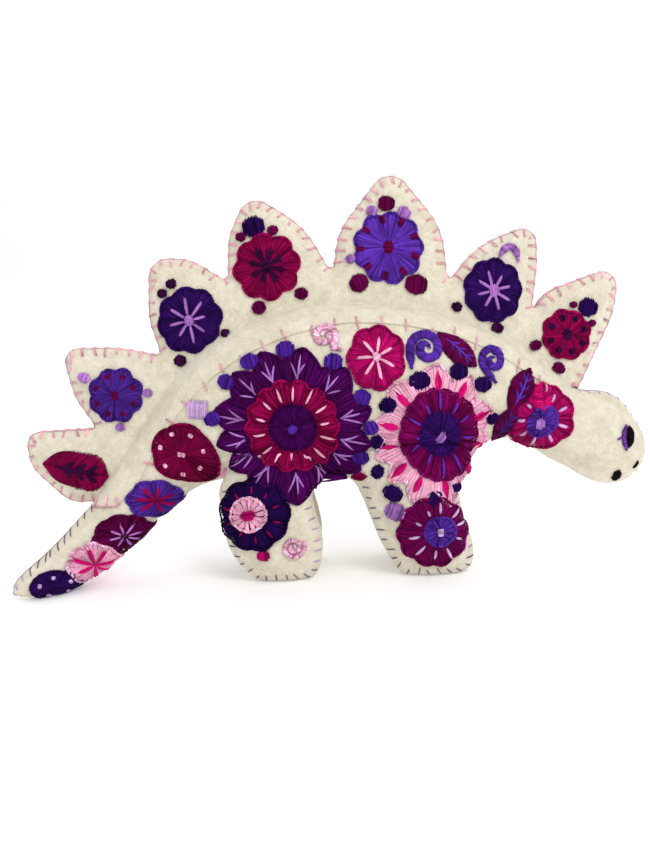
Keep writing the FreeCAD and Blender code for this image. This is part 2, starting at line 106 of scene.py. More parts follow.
def relaxed(co, edges, rounds):
    """Taubin smoothing, which keeps the volume."""
    count = np.bincount(edges.ravel(), minlength=len(co))[:, None]
    for share in (0.5, -0.52) * rounds:
        total = np.stack([
            np.bincount(edges[:, 0], co[edges[:, 1], axis], len(co))
            + np.bincount(edges[:, 1], co[edges[:, 0], axis], len(co)) for axis in range(3)], 1)
        co = co + (total / np.maximum(count, 1) - co) * share
    return co


def edge_array(mesh):
    edges = np.empty(len(mesh.edges) * 2, np.int32)
    mesh.edges.foreach_get("vertices", edges)
    return edges.reshape(-1, 2)


def normal_array(mesh, co):
    mesh.vertices.foreach_set("co", co.astype(np.float32).ravel())
    mesh.update()
    normals = np.empty(len(co) * 3, np.float32)
    mesh.vertex_normals.foreach_get("vector", normals)
    return normals.reshape(-1, 3).astype(float)


def lumps(co, size, seed):
    """Smooth random bulges of a hand-stuffed body, from about -1 to 1."""
    shift = Vector((seed, 0, 0))
    return np.array([noise.noise(Vector(point) / size + shift) for point in co])


def swelling(node, voxel, cap):
    """Cloth simulation of a stuffed cover: how far its filling pushes each spot, as a lookup in mm."""
    cover = bpy.data.objects.new("cloth_holder", remeshed(node, voxel))
    cover.data.transform(Matrix.Scale(MM, 4))
    bpy.context.scene.collection.objects.link(cover)
    before = vertex_array(cover.data) / MM
    cloth = cover.modifiers.new("filling", "CLOTH")
    cloth.settings.quality = 5
    cloth.settings.use_pressure = True
    cloth.settings.uniform_pressure_force = 4.0
    cloth.settings.effector_weights.gravity = 0.0
    cloth.point_cache.frame_start = 1
    cloth.point_cache.frame_end = CLOTH_FRAMES
    for moment in range(1, CLOTH_FRAMES + 1):
        bpy.context.scene.frame_set(moment)
    evaluated = cover.evaluated_get(bpy.context.evaluated_depsgraph_get())
    pushed = vertex_array(evaluated.data) / MM - before
    bpy.context.scene.frame_set(1)
    bpy.data.objects.remove(cover)
    size = np.linalg.norm(pushed, axis=1, keepdims=True)
    pushed = pushed / (1 + size / cap)
    tree = KDTree(len(before))
    for index, spot in enumerate(before):
        tree.insert(spot, index)
    tree.balance()

    def at(points):
        moved = np.zeros((len(points), 3))
        for index, spot in enumerate(points):
            near = tree.find_n(Vector(spot), 6)
            weights = np.array([1.0 / (distance + 1.0) ** 2 for _, _, distance in near])
            moved[index] = weights @ pushed[[found for _, found, _ in near]] / weights.sum()
        return moved

    return at


CLOTH_FRAMES = 20
# The sewing mid-surface follows the tail as it turns to the animal's right.
SEAM_X = [-138.6, -131.8, -121.8, -110.5, -98.5, -87.0, -75.5, -57.0]
SEAM_Y = [-40.0, -34.6, -27.0, -17.0, -8.0, -3.0, -0.8, 0.0]
CENTRE_Z = {-138.6: 4.8, -131.8: 6.9, -121.8: 10.6, -110.5: 18.8, -98.5: 29.8, -87.0: 42.4,
            -75.5: 53.6, -57.0: 66.2}


def seam_y(x):
    return np.interp(x, SEAM_X, SEAM_Y)


skin = remeshed("body_stuffing", 1.0)
skin_edges = edge_array(skin)
skin_co = relaxed(vertex_array(skin), skin_edges, 6)
body_push = swelling("body_stuffing", 4.5, 1.2)(skin_co)
skin_co += normal_array(skin, skin_co) * (FELT - 0.4 * np.linalg.norm(body_push, axis=1).mean()) + body_push
skin_co = relaxed(skin_co, skin_edges, 4)
dents = 0.45 * lumps(skin_co, 16.0, 3.0) + 0.28 * lumps(skin_co, 7.0, 5.0)
skin_co += normal_array(skin, skin_co) * dents[:, None]
skin_co[:, 2] = np.where(skin_co[:, 2] < 0.0, 0.0, skin_co[:, 2])
skin_normals = normal_array(skin, skin_co)
BODY = BVHTree.FromPolygons([tuple(c) for c in skin_co], [tuple(p.vertices) for p in skin.polygons])


# --------------------------------------------------------------------------------------- crest
# Free edge of the seven plates from the tail to the head: corner x, z and corner radius.
PLATE_CORNERS = [
    (-95, 37.0, 3), (-122, 36.5, 14), (-139.5, 54, 15), (-141, 70.3, 6), (-107, 71, 1.5),
    (-116.5, 86, 25), (-121.5, 109, 6.5), (-95, 108.4, 60), (-74.5, 103.5, 2),
    (-79.5, 121, 30), (-78, 149, 9), (-59, 147.5, 20), (-42, 136.5, 2),
    (-40.5, 157, 20), (-30.5, 176.5, 8.5), (-5.5, 160, 40), (7, 136.5, 2),
    (10, 157, 30), (35, 186.5, 9), (58, 157, 35), (60, 131, 2),
    (74, 148, 40), (101.5, 157.5, 8), (101.5, 138, 40), (98, 113.5, 2),
    (105, 125.5, 25), (139.5, 136.5, 7.5), (137, 115, 40), (120, 80.8, 2)]
# Lower edge of the saddle band on the flank, from head to tail.
SADDLE = [(107, 80.5), (100, 83), (92, 88.5), (78, 98.5), (60, 106.5), (38, 112.3), (12, 114.7),
          (-12, 110.5), (-30, 104), (-46, 95), (-57, 86), (-70, 72), (-78, 60), (-86, 46)]
PLATE_EDGE = 1.5        # felt showing at each side of the plates' seam
PLATE_PUFF = 6.2        # half thickness in the middle of a stuffed plate
PUFF_REACH = 15.0       # how far from its seam a plate reaches full thickness
BLEND = 2.5             # softness of the valley where a plate meets the back
OUTSIDE = 90.0          # rays at the toy start this far from the mid-plane
HEM = 6.0               # how far from its lower edge the saddle is pulled down by its stitches


def rounded(corners, step):
    """Points at an even step along an open line whose corners are arcs."""
    line = [np.array(corners[0][:2], float)]
    for before, (x, z, radius), after in zip(corners, corners[1:], corners[2:]):
        here = np.array([x, z], float)
        back = np.array(before[:2]) - here
        ahead = np.array(after[:2]) - here
        limit = 0.48 * min(np.linalg.norm(back), np.linalg.norm(ahead))
        back, ahead = unit(back), unit(ahead)
        half = math.acos(float(np.clip(back @ ahead, -1, 1))) / 2
        reach = min(radius / math.tan(half), limit)
        bow = reach * math.tan(half)
        middle = here + unit(back + ahead) * bow / math.sin(half)
        start = here + back * reach - middle
        end = here + ahead * reach - middle
        first = math.atan2(start[1], start[0])
        sweep = (math.atan2(end[1], end[0]) - first + math.pi) % (2 * math.pi) - math.pi
        for turn in np.linspace(0, 1, max(3, int(abs(sweep) * bow / step) + 2)):
            angle = first + sweep * turn
            line.append(middle + bow * np.array([math.cos(angle), math.sin(angle)]))
    line.append(np.array(corners[-1][:2], float))
    return resampled(np.array(line), step)


def resampled(line, step):
    """The same line with points at an even step."""
    along = np.r_[0, np.cumsum(np.linalg.norm(np.diff(line, axis=0), axis=1))]
    count = max(2, int(round(along[-1] / step)) + 1)
    marks = np.linspace(0, along[-1], count)
    return np.stack([np.interp(marks, along, line[:, axis]) for axis in range(line.shape[1])], 1)


def softened(line, rounds):
    for _ in range(rounds):
        line = np.r_[line[:1], (line[:-2] + 2 * line[1:-1] + line[2:]) / 4, line[-1:]]
    return line


def distance_to(line, points):
    """Distance of each point from a line of points."""
    best = np.full(len(points), 1e9)
    span = line[1:] - line[:-1]
    for start, run in zip(line[:-1], span):
        share = np.clip(((points - start) @ run) / max(run @ run, 1e-9), 0, 1)
        gap = np.linalg.norm(points - start - share[:, None] * run, axis=1)
        best = np.minimum(best, gap)
    return best


def inside(outline, points):
    """Which points lie inside a closed outline."""
    found = np.zeros(len(points), bool)
    for (ax, az), (bx, bz) in zip(outline, np.roll(outline, -1, axis=0)):
        spans = (az > points[:, 1]) != (bz > points[:, 1])
        cross = ax + (points[:, 1] - az) * (bx - ax) / (bz - az + 1e-12)
        found ^= spans & (points[:, 0] < cross)
    return found


free_edge = rounded(PLATE_CORNERS, 1.0)
saddle_edge = softened(resampled(np.array(SADDLE, float), 1.0), 60)
crest_outline = np.r_[free_edge, saddle_edge]


def body_half(x, z, side):
    """How far the body reaches to one side of the mid-plane at (x, z), or a large minus where it doesn't."""
    reach = np.full(len(x), -1e3)
    for index, (px, pz) in enumerate(zip(x, z)):
        hit = BODY.ray_cast(Vector((px, side * OUTSIDE, pz)), Vector((0, -side, 0)))[0]
        if hit is not None:
            reach[index] = side * hit.y
    return reach


GRID_STEP = 1.15        # between points of a crest panel's mesh
ROW_SHIFT = 0.57        # of every other row of them
GRID_INSET = 1.35       # from a panel's edge to the first of them
RING_INSETS = (0.3, 0.75)       # from its edge to the rings of points that round it off
crest_push = swelling("crest_stuffing", 4.0, 1.6)


def crest_half(points, side):
    """Height of the crest's felt above the mid-plane at (x, z) points."""
    gap = distance_to(free_edge, points)
    share = np.clip(gap / PUFF_REACH, 0, 1)
    pillow = PLATE_EDGE + (PLATE_PUFF - PLATE_EDGE) * np.sqrt(1 - (1 - share) ** 2)
    spots = np.c_[points, np.full(len(points), side)]
    pillow += (0.6 * lumps(spots, 12.0, 9.0) + 0.3 * lumps(spots, 6.0, 7.0)) * share
    hem = np.clip(distance_to(saddle_edge, points) / HEM, 0, 1)
    back = body_half(points[:, 0], points[:, 1], side) + FELT * (0.45 + 0.55 * hem)
    high = np.maximum(pillow, back)
    return np.where(back < -100, pillow, high + BLEND * np.exp(-np.abs(pillow - back) / BLEND) * 0.5)


def crest_sheet(side):
    """The felt of one crest panel: its face, and a wall down to the seam or to the body."""
    closed = np.r_[crest_outline, crest_outline[:1]]
    low = crest_outline.min(0)
    high = crest_outline.max(0)
    grid_x, grid_z = np.meshgrid(np.arange(low[0], high[0], GRID_STEP), np.arange(low[1], high[1], 1.0))
    grid_x[1::2] += ROW_SHIFT
    grid = np.c_[grid_x.ravel(), grid_z.ravel()]
    grid = grid[inside(crest_outline, grid)]
    grid = grid[distance_to(closed, grid) > GRID_INSET]
    rings = []
    step = np.roll(crest_outline, -1, axis=0) - np.roll(crest_outline, 1, axis=0)
    outward = unit(np.c_[step[:, 1], -step[:, 0]])
    for inset in RING_INSETS:
        for sign in (1, -1):
            ring = crest_outline + outward * inset * sign
            ring = ring[inside(crest_outline, ring)]
            rings.append(ring[distance_to(closed, ring) > inset * 0.93])
    points = np.r_[crest_outline, *rings, grid]
    count = len(crest_outline)
    flat = delaunay_2d_cdt([Vector(p) for p in points], [], [list(range(count))], 1, 1e-4)
    points = np.array([tuple(v) for v in flat[0]])
    faces = [tuple(f) for f in flat[2]]
    half = crest_half(points, side)
    gap = distance_to(closed, points)
    share = np.clip(gap / PUFF_REACH, 0, 1)
    push = side * crest_push(np.c_[points[:, 0], side * half, points[:, 1]])[:, 1]
    half = half + share * (push - push.mean())
    hem = np.clip(distance_to(saddle_edge, points), 0, 1)
    half = half - (1.15 - 0.35 * hem) * (1 - np.sqrt(1 - (1 - np.clip(gap, 0, 1)) ** 2))
    top = np.c_[points[:, 0], side * half, points[:, 1]]
    links = {}
    for face in faces:
        for a, b in zip(face, face[1:] + face[:1]):
            links[(a, b)] = links.get((b, a), 0) + 1
    border = [(a, b) for (a, b) in links if (b, a) not in links]
    rim = sorted({a for a, b in border} | {b for a, b in border})
    seat = {vertex: len(points) + index for index, vertex in enumerate(rim)}
    under = body_half(points[rim, 0], points[rim, 1], side)
    floor = np.where(under > -100, np.minimum(under - 0.5, half[rim]), 0.1)
    wall = np.c_[points[rim, 0], side * floor, points[rim, 1]]
    sunk = set(np.array(rim)[half[rim] < under])
    faces += [(b, a, seat[a], seat[b]) for a, b in border if not {a, b} <= sunk]
    a, b, c = (top[index] for index in faces[0][:3])
    if np.cross(b - a, c - a)[1] * side < 0:
        faces = [face[::-1] for face in faces]
    return np.r_[top, wall], faces


crest = {label: crest_sheet(side) for label, side in SIDES.items()}
cover_co = [skin_co]
cover_faces = [tuple(p.vertices) for p in skin.polygons]
for crest_co, crest_faces in crest.values():
    start = sum(len(part) for part in cover_co)
    cover_co.append(crest_co)
    cover_faces += [tuple(index + start for index in face) for face in crest_faces]
COVER = BVHTree.FromPolygons([tuple(c) for c in np.concatenate(cover_co)], cover_faces)


GUSSET_X = (-62.0, 76.0)
GUSSET_HALF = 18.0
GUSSET_TOP = 52.0
LEG_TOP = 62.0
LEG_CORE = 17.0         # a leg's own middle, either side of the mid-plane
OTHER_LEG = 6.0         # cloth below the belly that is nearer the mid-plane isn't this leg's outside


def drape(side, x, z, lift):
    """Points and normals on the outside of the toy at (x, z), raised by lift."""
    x, z, lift = np.broadcast_arrays(np.asarray(x, float), z, lift)
    spots = np.empty(x.shape + (3,))
    normals = np.empty(x.shape + (3,))
    for index in np.ndindex(x.shape):
        px, pz = x[index], z[index]
        hit, normal = COVER.ray_cast(Vector((px, side * OUTSIDE, pz)), Vector((0, -side, 0)))[:2]
        low = GUSSET_X[0] < px < GUSSET_X[1] and pz < LEG_TOP
        if hit is None or (low and hit.y * side < OTHER_LEG):
            core = side * LEG_CORE if low else float(seam_y(px)) + side * 2.0
            hit, normal = COVER.find_nearest(Vector((px, core, pz)))[:2]
        if normal.y * side < -0.2:
            normal = -normal
        spots[index] = hit
        normals[index] = normal
    return spots + normals * lift[..., None], normals


# ---------------------------------------------------------------------------------- yarn pieces
LONGEST_STEP = 10.0     # a longer step along one stitch means that it fell off an edge
ROUND = 6               # points round a strand


class Yarn:
    """Gathers the strands and pads that one piece of needlework is made of."""

    def __init__(self):
        self.co, self.faces, self.colours, self.uvs = [], [], [], []
        self.count = 0

    def grid(self, points, colour, uv, closed=False, longest=LONGEST_STEP):
        """Add (strands, rows, columns) of points joined into quads, except across a jump in the cloth."""
        strands, rows, columns = points.shape[:3]
        index = np.arange(strands * rows * columns).reshape(strands, rows, columns) + self.count
        across = np.roll(index, -1, axis=2) if closed else index[:, :, 1:]
        base = index if closed else index[:, :, :-1]
        quads = np.stack([base[:, :-1], across[:, :-1], across[:, 1:], base[:, 1:]], -1).reshape(-1, 4)
        uv_across = np.concatenate([uv[:, :, 1:], uv[:, :, :1] + [1.0, 0.0]], 2) if closed else uv[:, :, 1:]
        uv_base = uv if closed else uv[:, :, :-1]
        corner_uv = np.stack([uv_base[:, :-1], uv_across[:, :-1], uv_across[:, 1:], uv_base[:, 1:]], -2)
        corners = points.reshape(-1, 3)[quads - self.count]
        sides = np.linalg.norm(corners - np.roll(corners, 1, axis=1), axis=-1).max(1)
        whole = sides < longest
        self.co.append(points.reshape(-1, 3))
        self.faces.append(quads[whole])
        self.uvs.append(corner_uv.reshape(len(quads), 4, 2)[whole].reshape(-1, 2))
        self.colours.append(np.broadcast_to(colour, points.shape).reshape(-1, 3))
        self.count += strands * rows * columns

    def strands(self, points, normals, radius, colour, vary, blunt=0.35, longest=LONGEST_STEP):
        """Add round strands along (strands, points, 3) lines; each keeps a shade of its own."""
        points = np.asarray(points, float)
        if points.ndim == 2:
            points, normals = points[None], np.asarray(normals)[None]
        number, rows = points.shape[:2]
        tangent = np.gradient(points, axis=1)
        tangent /= np.linalg.norm(tangent, axis=-1, keepdims=True) + 1e-9
        beside = np.cross(tangent, normals)
        beside /= np.linalg.norm(beside, axis=-1, keepdims=True) + 1e-9
        above = np.cross(beside, tangent)
        ends = np.ones(rows)
        ends[0] = ends[-1] = blunt
        width = np.broadcast_to(radius, (number, rows)) * ends
        around = np.arange(ROUND) / ROUND
        angle = 2 * np.pi * around - np.pi / 2
        ring = (beside[:, :, None] * np.cos(angle)[:, None] + above[:, :, None] * np.sin(angle)[:, None])
        tube = points[:, :, None] + ring * width[:, :, None, None]
        length = np.cumsum(np.r_[0, np.ones(rows - 1)]) * np.linalg.norm(
            points[:, 1] - points[:, 0], axis=-1)[:, None]
        uv = np.stack(np.broadcast_arrays(around[None, None],
                                          (length + rng.uniform(0, 3, (number, 1)))[:, :, None]), -1)
        shade = 1 + vary * rng.standard_normal((number, 1, 1, 1)) * [1.0, 1.0, 1.0]
        tone = np.clip(np.asarray(colour).reshape(-1, 1, 1, 3) * np.clip(shade, 0.45, 1.9), 0, 1)
        self.grid(tube, tone, uv.astype(float), closed=True, longest=longest)

    def pad(self, points, colour):
        """Add a filled patch under the strands; its callers darken its colour as painted shade that shows
        between the strands.
        """
        self.grid(points[None], colour, np.zeros((1,) + points.shape[:2] + (2,)))

    def piece(self, name):
        faces = np.concatenate(self.faces)
        used = np.unique(faces)
        place = np.zeros(self.count, int)
        place[used] = np.arange(len(used))
        co = np.concatenate(self.co)[used]
        co[:, 2] = np.maximum(co[:, 2], 0.02)
        return make_piece(name, co, place[faces], yarn_material,
                          colours=np.concatenate(self.colours)[used], uvs=np.concatenate(self.uvs))


def make_piece(name, co, faces, material, colours=None, uvs=None, normals=None):
    """A finished mesh object in the row frame, riding on the toy's one body."""
    mesh = bpy.data.meshes.new(name)
    sizes = np.array([len(face) for face in faces], np.int32)
    corners = np.concatenate([np.asarray(face, np.int32) for face in faces])
    mesh.vertices.add(len(co))
    mesh.vertices.foreach_set("co", ((co + SEW) * MM).astype(np.float32).ravel())
    mesh.loops.add(len(corners))
    mesh.loops.foreach_set("vertex_index", corners)
    mesh.polygons.add(len(sizes))
    mesh.polygons.foreach_set("loop_start", np.r_[0, np.cumsum(sizes)[:-1]].astype(np.int32))
    mesh.update(calc_edges=True)
    mesh.polygons.foreach_set("use_smooth", np.ones(len(sizes), bool))
    if colours is not None:
        layer = mesh.color_attributes.new("yarn", "FLOAT_COLOR", "POINT")
        layer.data.foreach_set("color", np.c_[colours, np.ones(len(co))].astype(np.float32).ravel())
    if uvs is not None:
        mesh.uv_layers.new(name="ply").data.foreach_set("uv", uvs.astype(np.float32).ravel())
    if normals is not None:
        mesh.normals_split_custom_set_from_vertices([tuple(n) for n in normals])
    mesh.materials.append(material)
    piece = bpy.data.objects.new(name, mesh)
    bpy.context.scene.collection.objects.link(piece)
    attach(piece, "root")
    return piece


# ------------------------------------------------------------------------------------ materials
def node(tree, kind, links=None, **values):
    """Add a shader node; links maps its inputs to output sockets or to constants."""
    made = tree.nodes.new("ShaderNode" + kind)
    for name, value in values.items():
        setattr(made, name, value)
    for socket, source in (links or {}).items():
        if isinstance(source, bpy.types.NodeSocket):
            tree.links.new(source, made.inputs[socket])
        else:
            made.inputs[socket].default_value = source
    return made


def grain(tree, place, scale, detail, **more):
    """A noise texture's value."""
    return node(tree, "TexNoise", {"Vector": place, "Scale": scale, "Detail": detail, **more}).outputs["Fac"]


def maths(tree, operation, *values):
    return node(tree, "Math", dict(enumerate(values)), operation=operation).outputs[0]


def between(tree, value, low, high, least=0.0, most=1.0):
    """A value carried from low..high to least..most."""
    limits = {"From Min": low, "From Max": high, "To Min": least, "To Max": most}
    return node(tree, "MapRange", {"Value": value, **limits}).outputs[0]


def new_material(name, **settings):
    """A material with one principled shader; settings name its sockets with _ for a space."""
    material = bpy.data.materials.new(name)
    material.use_nodes = True
    tree = material.node_tree
    tree.nodes.clear()
    named = {socket.replace("_", " "): value for socket, value in settings.items()}
    shader = node(tree, "BsdfPrincipled", named)
    node(tree, "OutputMaterial", {"Surface": shader.outputs["BSDF"]})
    return material, tree, shader


def dress(tree, shader, tint, shade, height, strength, distance):
    """Give a shader a tint times a shade, and bumps of the given height."""
    colour = node(tree, "Mix", {"Factor": 1.0, 6: tint, 7: shade}, data_type="RGBA", blend_type="MULTIPLY")
    tree.links.new(colour.outputs[2], shader.inputs["Base Color"])
    bump = node(tree, "Bump", {"Height": height, "Strength": strength, "Distance": distance})
    tree.links.new(bump.outputs["Normal"], shader.inputs["Normal"])


def felt_look():
    """Cream wool felt: cloudy colour, matted fibres and a soft sheen."""
    material, tree, shader = new_material("cream_felt", Roughness=0.92, Sheen_Weight=0.25,
                                          Sheen_Roughness=0.6, Specular_IOR_Level=0.15)
    place = node(tree, "TexCoord").outputs["Object"]
    cloud = grain(tree, place, 95.0, 6.0, Roughness=0.62)
    patches = grain(tree, place, 260.0, 3.0, Roughness=0.6)
    clump = grain(tree, place, 330.0, 3.0, Distortion=2.2)
    fibre = grain(tree, place, 900.0, 5.0, Roughness=0.7, Distortion=1.6)
    dull = (*(FELT_CREAM * [0.89, 0.88, 0.84]), 1)
    clean = (*np.minimum(FELT_CREAM * [1.07, 1.08, 1.10], 1), 1)
    share = between(tree, maths(tree, "ADD", cloud, patches), 0.78, 1.22)
    warm = node(tree, "Mix", {"Factor": share, 6: dull, 7: clean}, data_type="RGBA").outputs[2]
    dress(tree, shader, warm, between(tree, fibre, 0.3, 0.7, 0.82, 1.10), maths(tree, "ADD", clump, fibre),
          0.75, 0.0008)
    return material


def yarn_look():
    """Soft wool yarn in the colour its strand carries, with twisted plies and stray fibres that are partly
    lightened as painted highlight.
    """
    material, tree, shader = new_material("wool_yarn", Roughness=0.85, Specular_IOR_Level=0.06)
    colour = node(tree, "Attribute", attribute_name="yarn").outputs["Color"]
    ply = node(tree, "SeparateXYZ", {"Vector": node(tree, "UVMap", uv_map="ply").outputs["UV"]})
    turn = maths(tree, "MULTIPLY_ADD", ply.outputs["Y"], 0.8, ply.outputs["X"])
    twist = maths(tree, "SINE", maths(tree, "MULTIPLY", turn, 4 * math.pi))
    place = node(tree, "TexCoord").outputs["Object"]
    fibre = grain(tree, place, 1800.0, 3.0, Distortion=1.5)
    tone = between(tree, grain(tree, place, 160.0, 2.0), 0.3, 0.7, 0.78, 1.22)
    # Fine fibre tone that rises above the yarn's colour in specks, partly painted highlight on the fibres.
    fibre_fuzz_and_highlight = between(tree, fibre, 0.3, 0.7, 0.58, 1.38)
    shade = maths(tree, "MULTIPLY", tone, fibre_fuzz_and_highlight)
    bumps = maths(tree, "MULTIPLY_ADD", twist, 0.35, fibre)
    dress(tree, shader, colour, shade, bumps, 0.6, 0.0003)
    return material


felt_material = felt_look()
yarn_material = yarn_look()

# ------------------------------------------------------------------------------- felt body pieces
centres = np.array([skin_co[list(p.vertices)].mean(0) for p in skin.polygons])
in_gusset = ((centres[:, 0] > GUSSET_X[0]) & (centres[:, 0] < GUSSET_X[1])
             & (np.abs(centres[:, 1]) < GUSSET_HALF) & (centres[:, 2] < GUSSET_TOP))
on_right = centres[:, 1] < seam_y(centres[:, 0])


def skin_piece(name, chosen, nodes):
    """One felt panel cut from the skin, keeping the whole skin's smooth shading across its seams."""
    faces = [tuple(p.vertices) for p, keep in zip(skin.polygons, chosen) if keep]
    used = np.unique(np.concatenate([np.array(face) for face in faces]))
    place = np.full(len(skin_co), -1)
    place[used] = np.arange(len(used))
    piece = make_piece(name, skin_co[used], [tuple(place[list(face)]) for face in faces], felt_material,
                       normals=skin_normals[used])
    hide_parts(*nodes)
    return piece


skin_piece("felt_side_right", on_right & ~in_gusset, ["side_panel_right"])
skin_piece("felt_side_left", ~on_right & ~in_gusset, ["side_panel_left"])
skin_piece("felt_gusset", in_gusset, ["belly_gusset", "body_stuffing"])
for label, (crest_co, crest_faces) in crest.items():
    panel = make_piece(f"felt_crest_{label}", crest_co, crest_faces, felt_material)
    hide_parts(f"crest_panel_{label}", *(["crest_stuffing"] if label == "right" else []))


# ------------------------------------------------------------------------------------ embroidery
def eased(rows):
    """The same rows of points with sudden steps along each row evened out; the end points stay."""
    for _ in range(2):
        middle = (rows[..., :-2, :] + 2 * rows[..., 1:-1, :] + rows[..., 2:, :]) / 4
        rows = np.concatenate([rows[..., :1, :], middle, rows[..., -1:, :]], -2)
    return rows


HOLE = 0.12             # a flower that starts further out than this is a ring
PALE = 0.3              # the painted shade on the pad under yarn of a higher mean value is lighter


class Flower:
    """A round motif sewn at one place on one side; its stitches are given in shares of its size."""

    def __init__(self, yarn, side, centre, size, spin=0.0, base=0.25, petals=(), tip=(0.0, 0.0)):
        self.yarn, self.side, self.centre, self.size = yarn, side, centre, size
        self.spin, self.base = math.radians(spin), base
        self.petals = np.radians(petals)
        self.tip = (math.radians(tip[0]), tip[1])
        self.wobble = rng.uniform(0, 2 * math.pi, 2)

    def phase(self, turn, lobes):
        """Petal count passed at each turn, so that uneven petals keep their own widths."""
        if len(self.petals) != lobes:
            return lobes * turn
        ring = np.r_[self.petals[-1] - 2 * math.pi, self.petals, self.petals[0] + 2 * math.pi]
        return 2 * math.pi * np.interp(np.mod(turn, 2 * math.pi), ring, np.arange(-1, lobes + 1))

    def turn_of(self, index, count):
        """Where the stitch of one petal stands."""
        return self.petals[index] if len(self.petals) == count else 2 * math.pi * index / count

    def outline(self, turn, lobes, depth, pointed):
        """Edge of a flower: rounded lobes or pointed petals, a little uneven, with an optional tip."""
        reach = np.abs(np.cos(self.phase(turn, lobes) / 2))
        dip = 1 - reach
        if pointed:
            dip = 0.4 * dip + 0.6 * np.arccos(np.clip(reach, 0, 1)) / (math.pi / 2)
        edge = 1 - depth * dip
        uneven = 1 + 0.016 * np.sin(2 * turn + self.wobble[0]) + 0.012 * np.sin(5 * turn + self.wobble[1])
        return edge * uneven * (1 + self.tip[1] * np.maximum(0, np.cos(turn - self.tip[0])) ** 8)

    def at(self, turn, share, lift, shift=(0.0, 0.0)):
        turn = turn + self.spin
        x = self.centre[0] + shift[0] + self.size[0] * share * np.cos(turn)
        z = self.centre[1] + shift[1] + self.size[1] * share * np.sin(turn)
        spots, normals = drape(self.side, x, z, lift)
        return eased(spots), eased(normals)

    def satin(self, inner, outer, colour, height=1.3, lobes=8, depth=0.1, pointed=False, rope=None,
              gap=0.8, shift=(0.0, 0.0), base=0.0, vary=0.24):
        """Radial satin threads from inner to a lobed outer edge, over a pad, with a roped rim."""
        mean_size = (self.size[0] + self.size[1]) / 2
        mean = outer * mean_size
        count = max(12, int(2 * math.pi * mean / gap))
        base = base + self.base

        def dome(share, edge):
            if inner > HOLE:
                part = np.clip((share - inner) / (edge - inner + 1e-6), 0, 1)
                return base + height * np.sin(np.pi * part) ** 0.55
            return base + height * np.sqrt(np.clip(1 - np.clip(share / edge, 0, 1) ** 3, 0, 1))

        turns = np.linspace(0, 2 * math.pi, 109)[:, None]
        edges = outer * self.outline(turns, lobes, depth, pointed) - 0.15 / mean_size
        shares = inner + (edges - inner) * np.linspace(0, 1, 7)[None]
        rise = dome(shares, edges) * self.valleys(turns, lobes) - 0.22
        # The pad is darkened as painted shade that shows in the gaps between the threads.
        shade = 0.85 if np.mean(colour) > PALE else 0.65
        self.yarn.pad(self.at(turns, shares, rise, shift)[0], colour * shade)
        turn = (np.arange(count) + rng.uniform(-0.18, 0.18, count)) / count * 2 * math.pi
        edge = outer * self.outline(turn, lobes, depth, pointed) - rng.uniform(0.0, 0.35, count) / mean_size
        short = np.where(np.arange(count) % 2 == 0, 0.0, rng.uniform(0.15, 0.4, count))
        start = inner + (edge - inner) * short
        part = np.linspace(0, 1, 7)[None]
        share = start[:, None] + (edge - start)[:, None] * part
        bend = rng.normal(0, 0.018, (count, 1)) * np.sin(part * math.pi)
        uneven = rng.uniform(-0.14, 0.14, (count, 1))
        lift = dome(share, edge[:, None]) * self.valleys(turn, lobes)[:, None] + uneven
        width = np.clip(math.pi * share * mean / outer / count * 1.3, 0.24, 0.56)
        self.yarn.strands(*self.at(turn[:, None] + bend, share, lift, shift), width, colour, vary=vary)
        self.rope(outer, lobes, depth, pointed, colour if rope is None else rope, base, shift)

    def whole(self, colour, **values):
        """Satin threads from the very middle to the edge."""
        self.satin(0.05, 1.0, colour, **values)

    def knot(self, radius, colour, **values):
        """A satin knot in the middle."""
        self.spots(1, 0.0, radius, colour, **values)

    def valleys(self, turn, lobes):
        """Share of full height, lowest in the crease between two petals."""
        return 0.58 + 0.42 * np.abs(np.cos(self.phase(turn, lobes) / 2)) ** 0.5

    def stitch(self, turn, share, height, dip, width, colour, vary, shift=(0.0, 0.0)):
        """One stitch whose two ends go down into the cloth."""
        height[0] -= dip
        height[-1] -= dip + 0.1
        self.yarn.strands(*self.at(turn, share, height, shift), width, colour, vary=vary)

    def teardrops(self, count, inner, outer, half, colour, lift, strands):
        """A small leaf of long stitches in each petal, widest in its middle."""
        part = np.linspace(0, 1, 7)
        for index in range(count):
            turn = self.turn_of(index, count) + rng.normal(0, 0.03)
            for place in np.linspace(-1, 1, strands):
                share = inner + (outer - inner) * part * (1 - 0.16 * abs(place) + rng.normal(0, 0.05))
                bulge = place * half * np.sin(part * math.pi) ** 0.8 / (share * self.size[0])
                height = lift + 0.35 * np.sin(part * math.pi) - 0.2 * abs(place)
                self.stitch(turn + bulge, share, height, 0.4, 0.62 * np.sin(0.4 + 2.4 * part), colour, 0.2)

    def rope(self, outer, lobes, depth, pointed, colour, base, shift):
        """Slanting edge stitches that look like a laid rope round a motif."""
        mean = outer * (self.size[0] + self.size[1]) / 2
        count = int(2 * math.pi * mean / 1.25)
        uneven = rng.normal(0, 0.12, (count, 1))
        turn = (np.arange(count)[:, None] + uneven + np.linspace(-0.62, 0.62, 4)[None]) / count * 2 * math.pi
        edge = outer * self.outline(turn, lobes, depth, pointed)
        share = edge * (1 + (np.linspace(-0.85, 0.42, 4)[None] + rng.normal(0, 0.07, (count, 1))) / mean)
        lift = np.broadcast_to(base + np.array([0.75, 0.85, 0.6, 0.05]), turn.shape)
        self.yarn.strands(*self.at(turn, share, lift, shift), 0.5, colour, vary=0.28)
        # The thread under the rope stitches is darkened to 0.85 as painted shade in the gaps between them.
        ring = np.linspace(0, 2 * math.pi, 4 * count)
        edge = outer * self.outline(ring, lobes, depth, pointed)
        self.yarn.strands(*self.at(ring, edge, base + 0.3, shift), 0.4, colour * 0.85, vary=0.0, blunt=1.0)

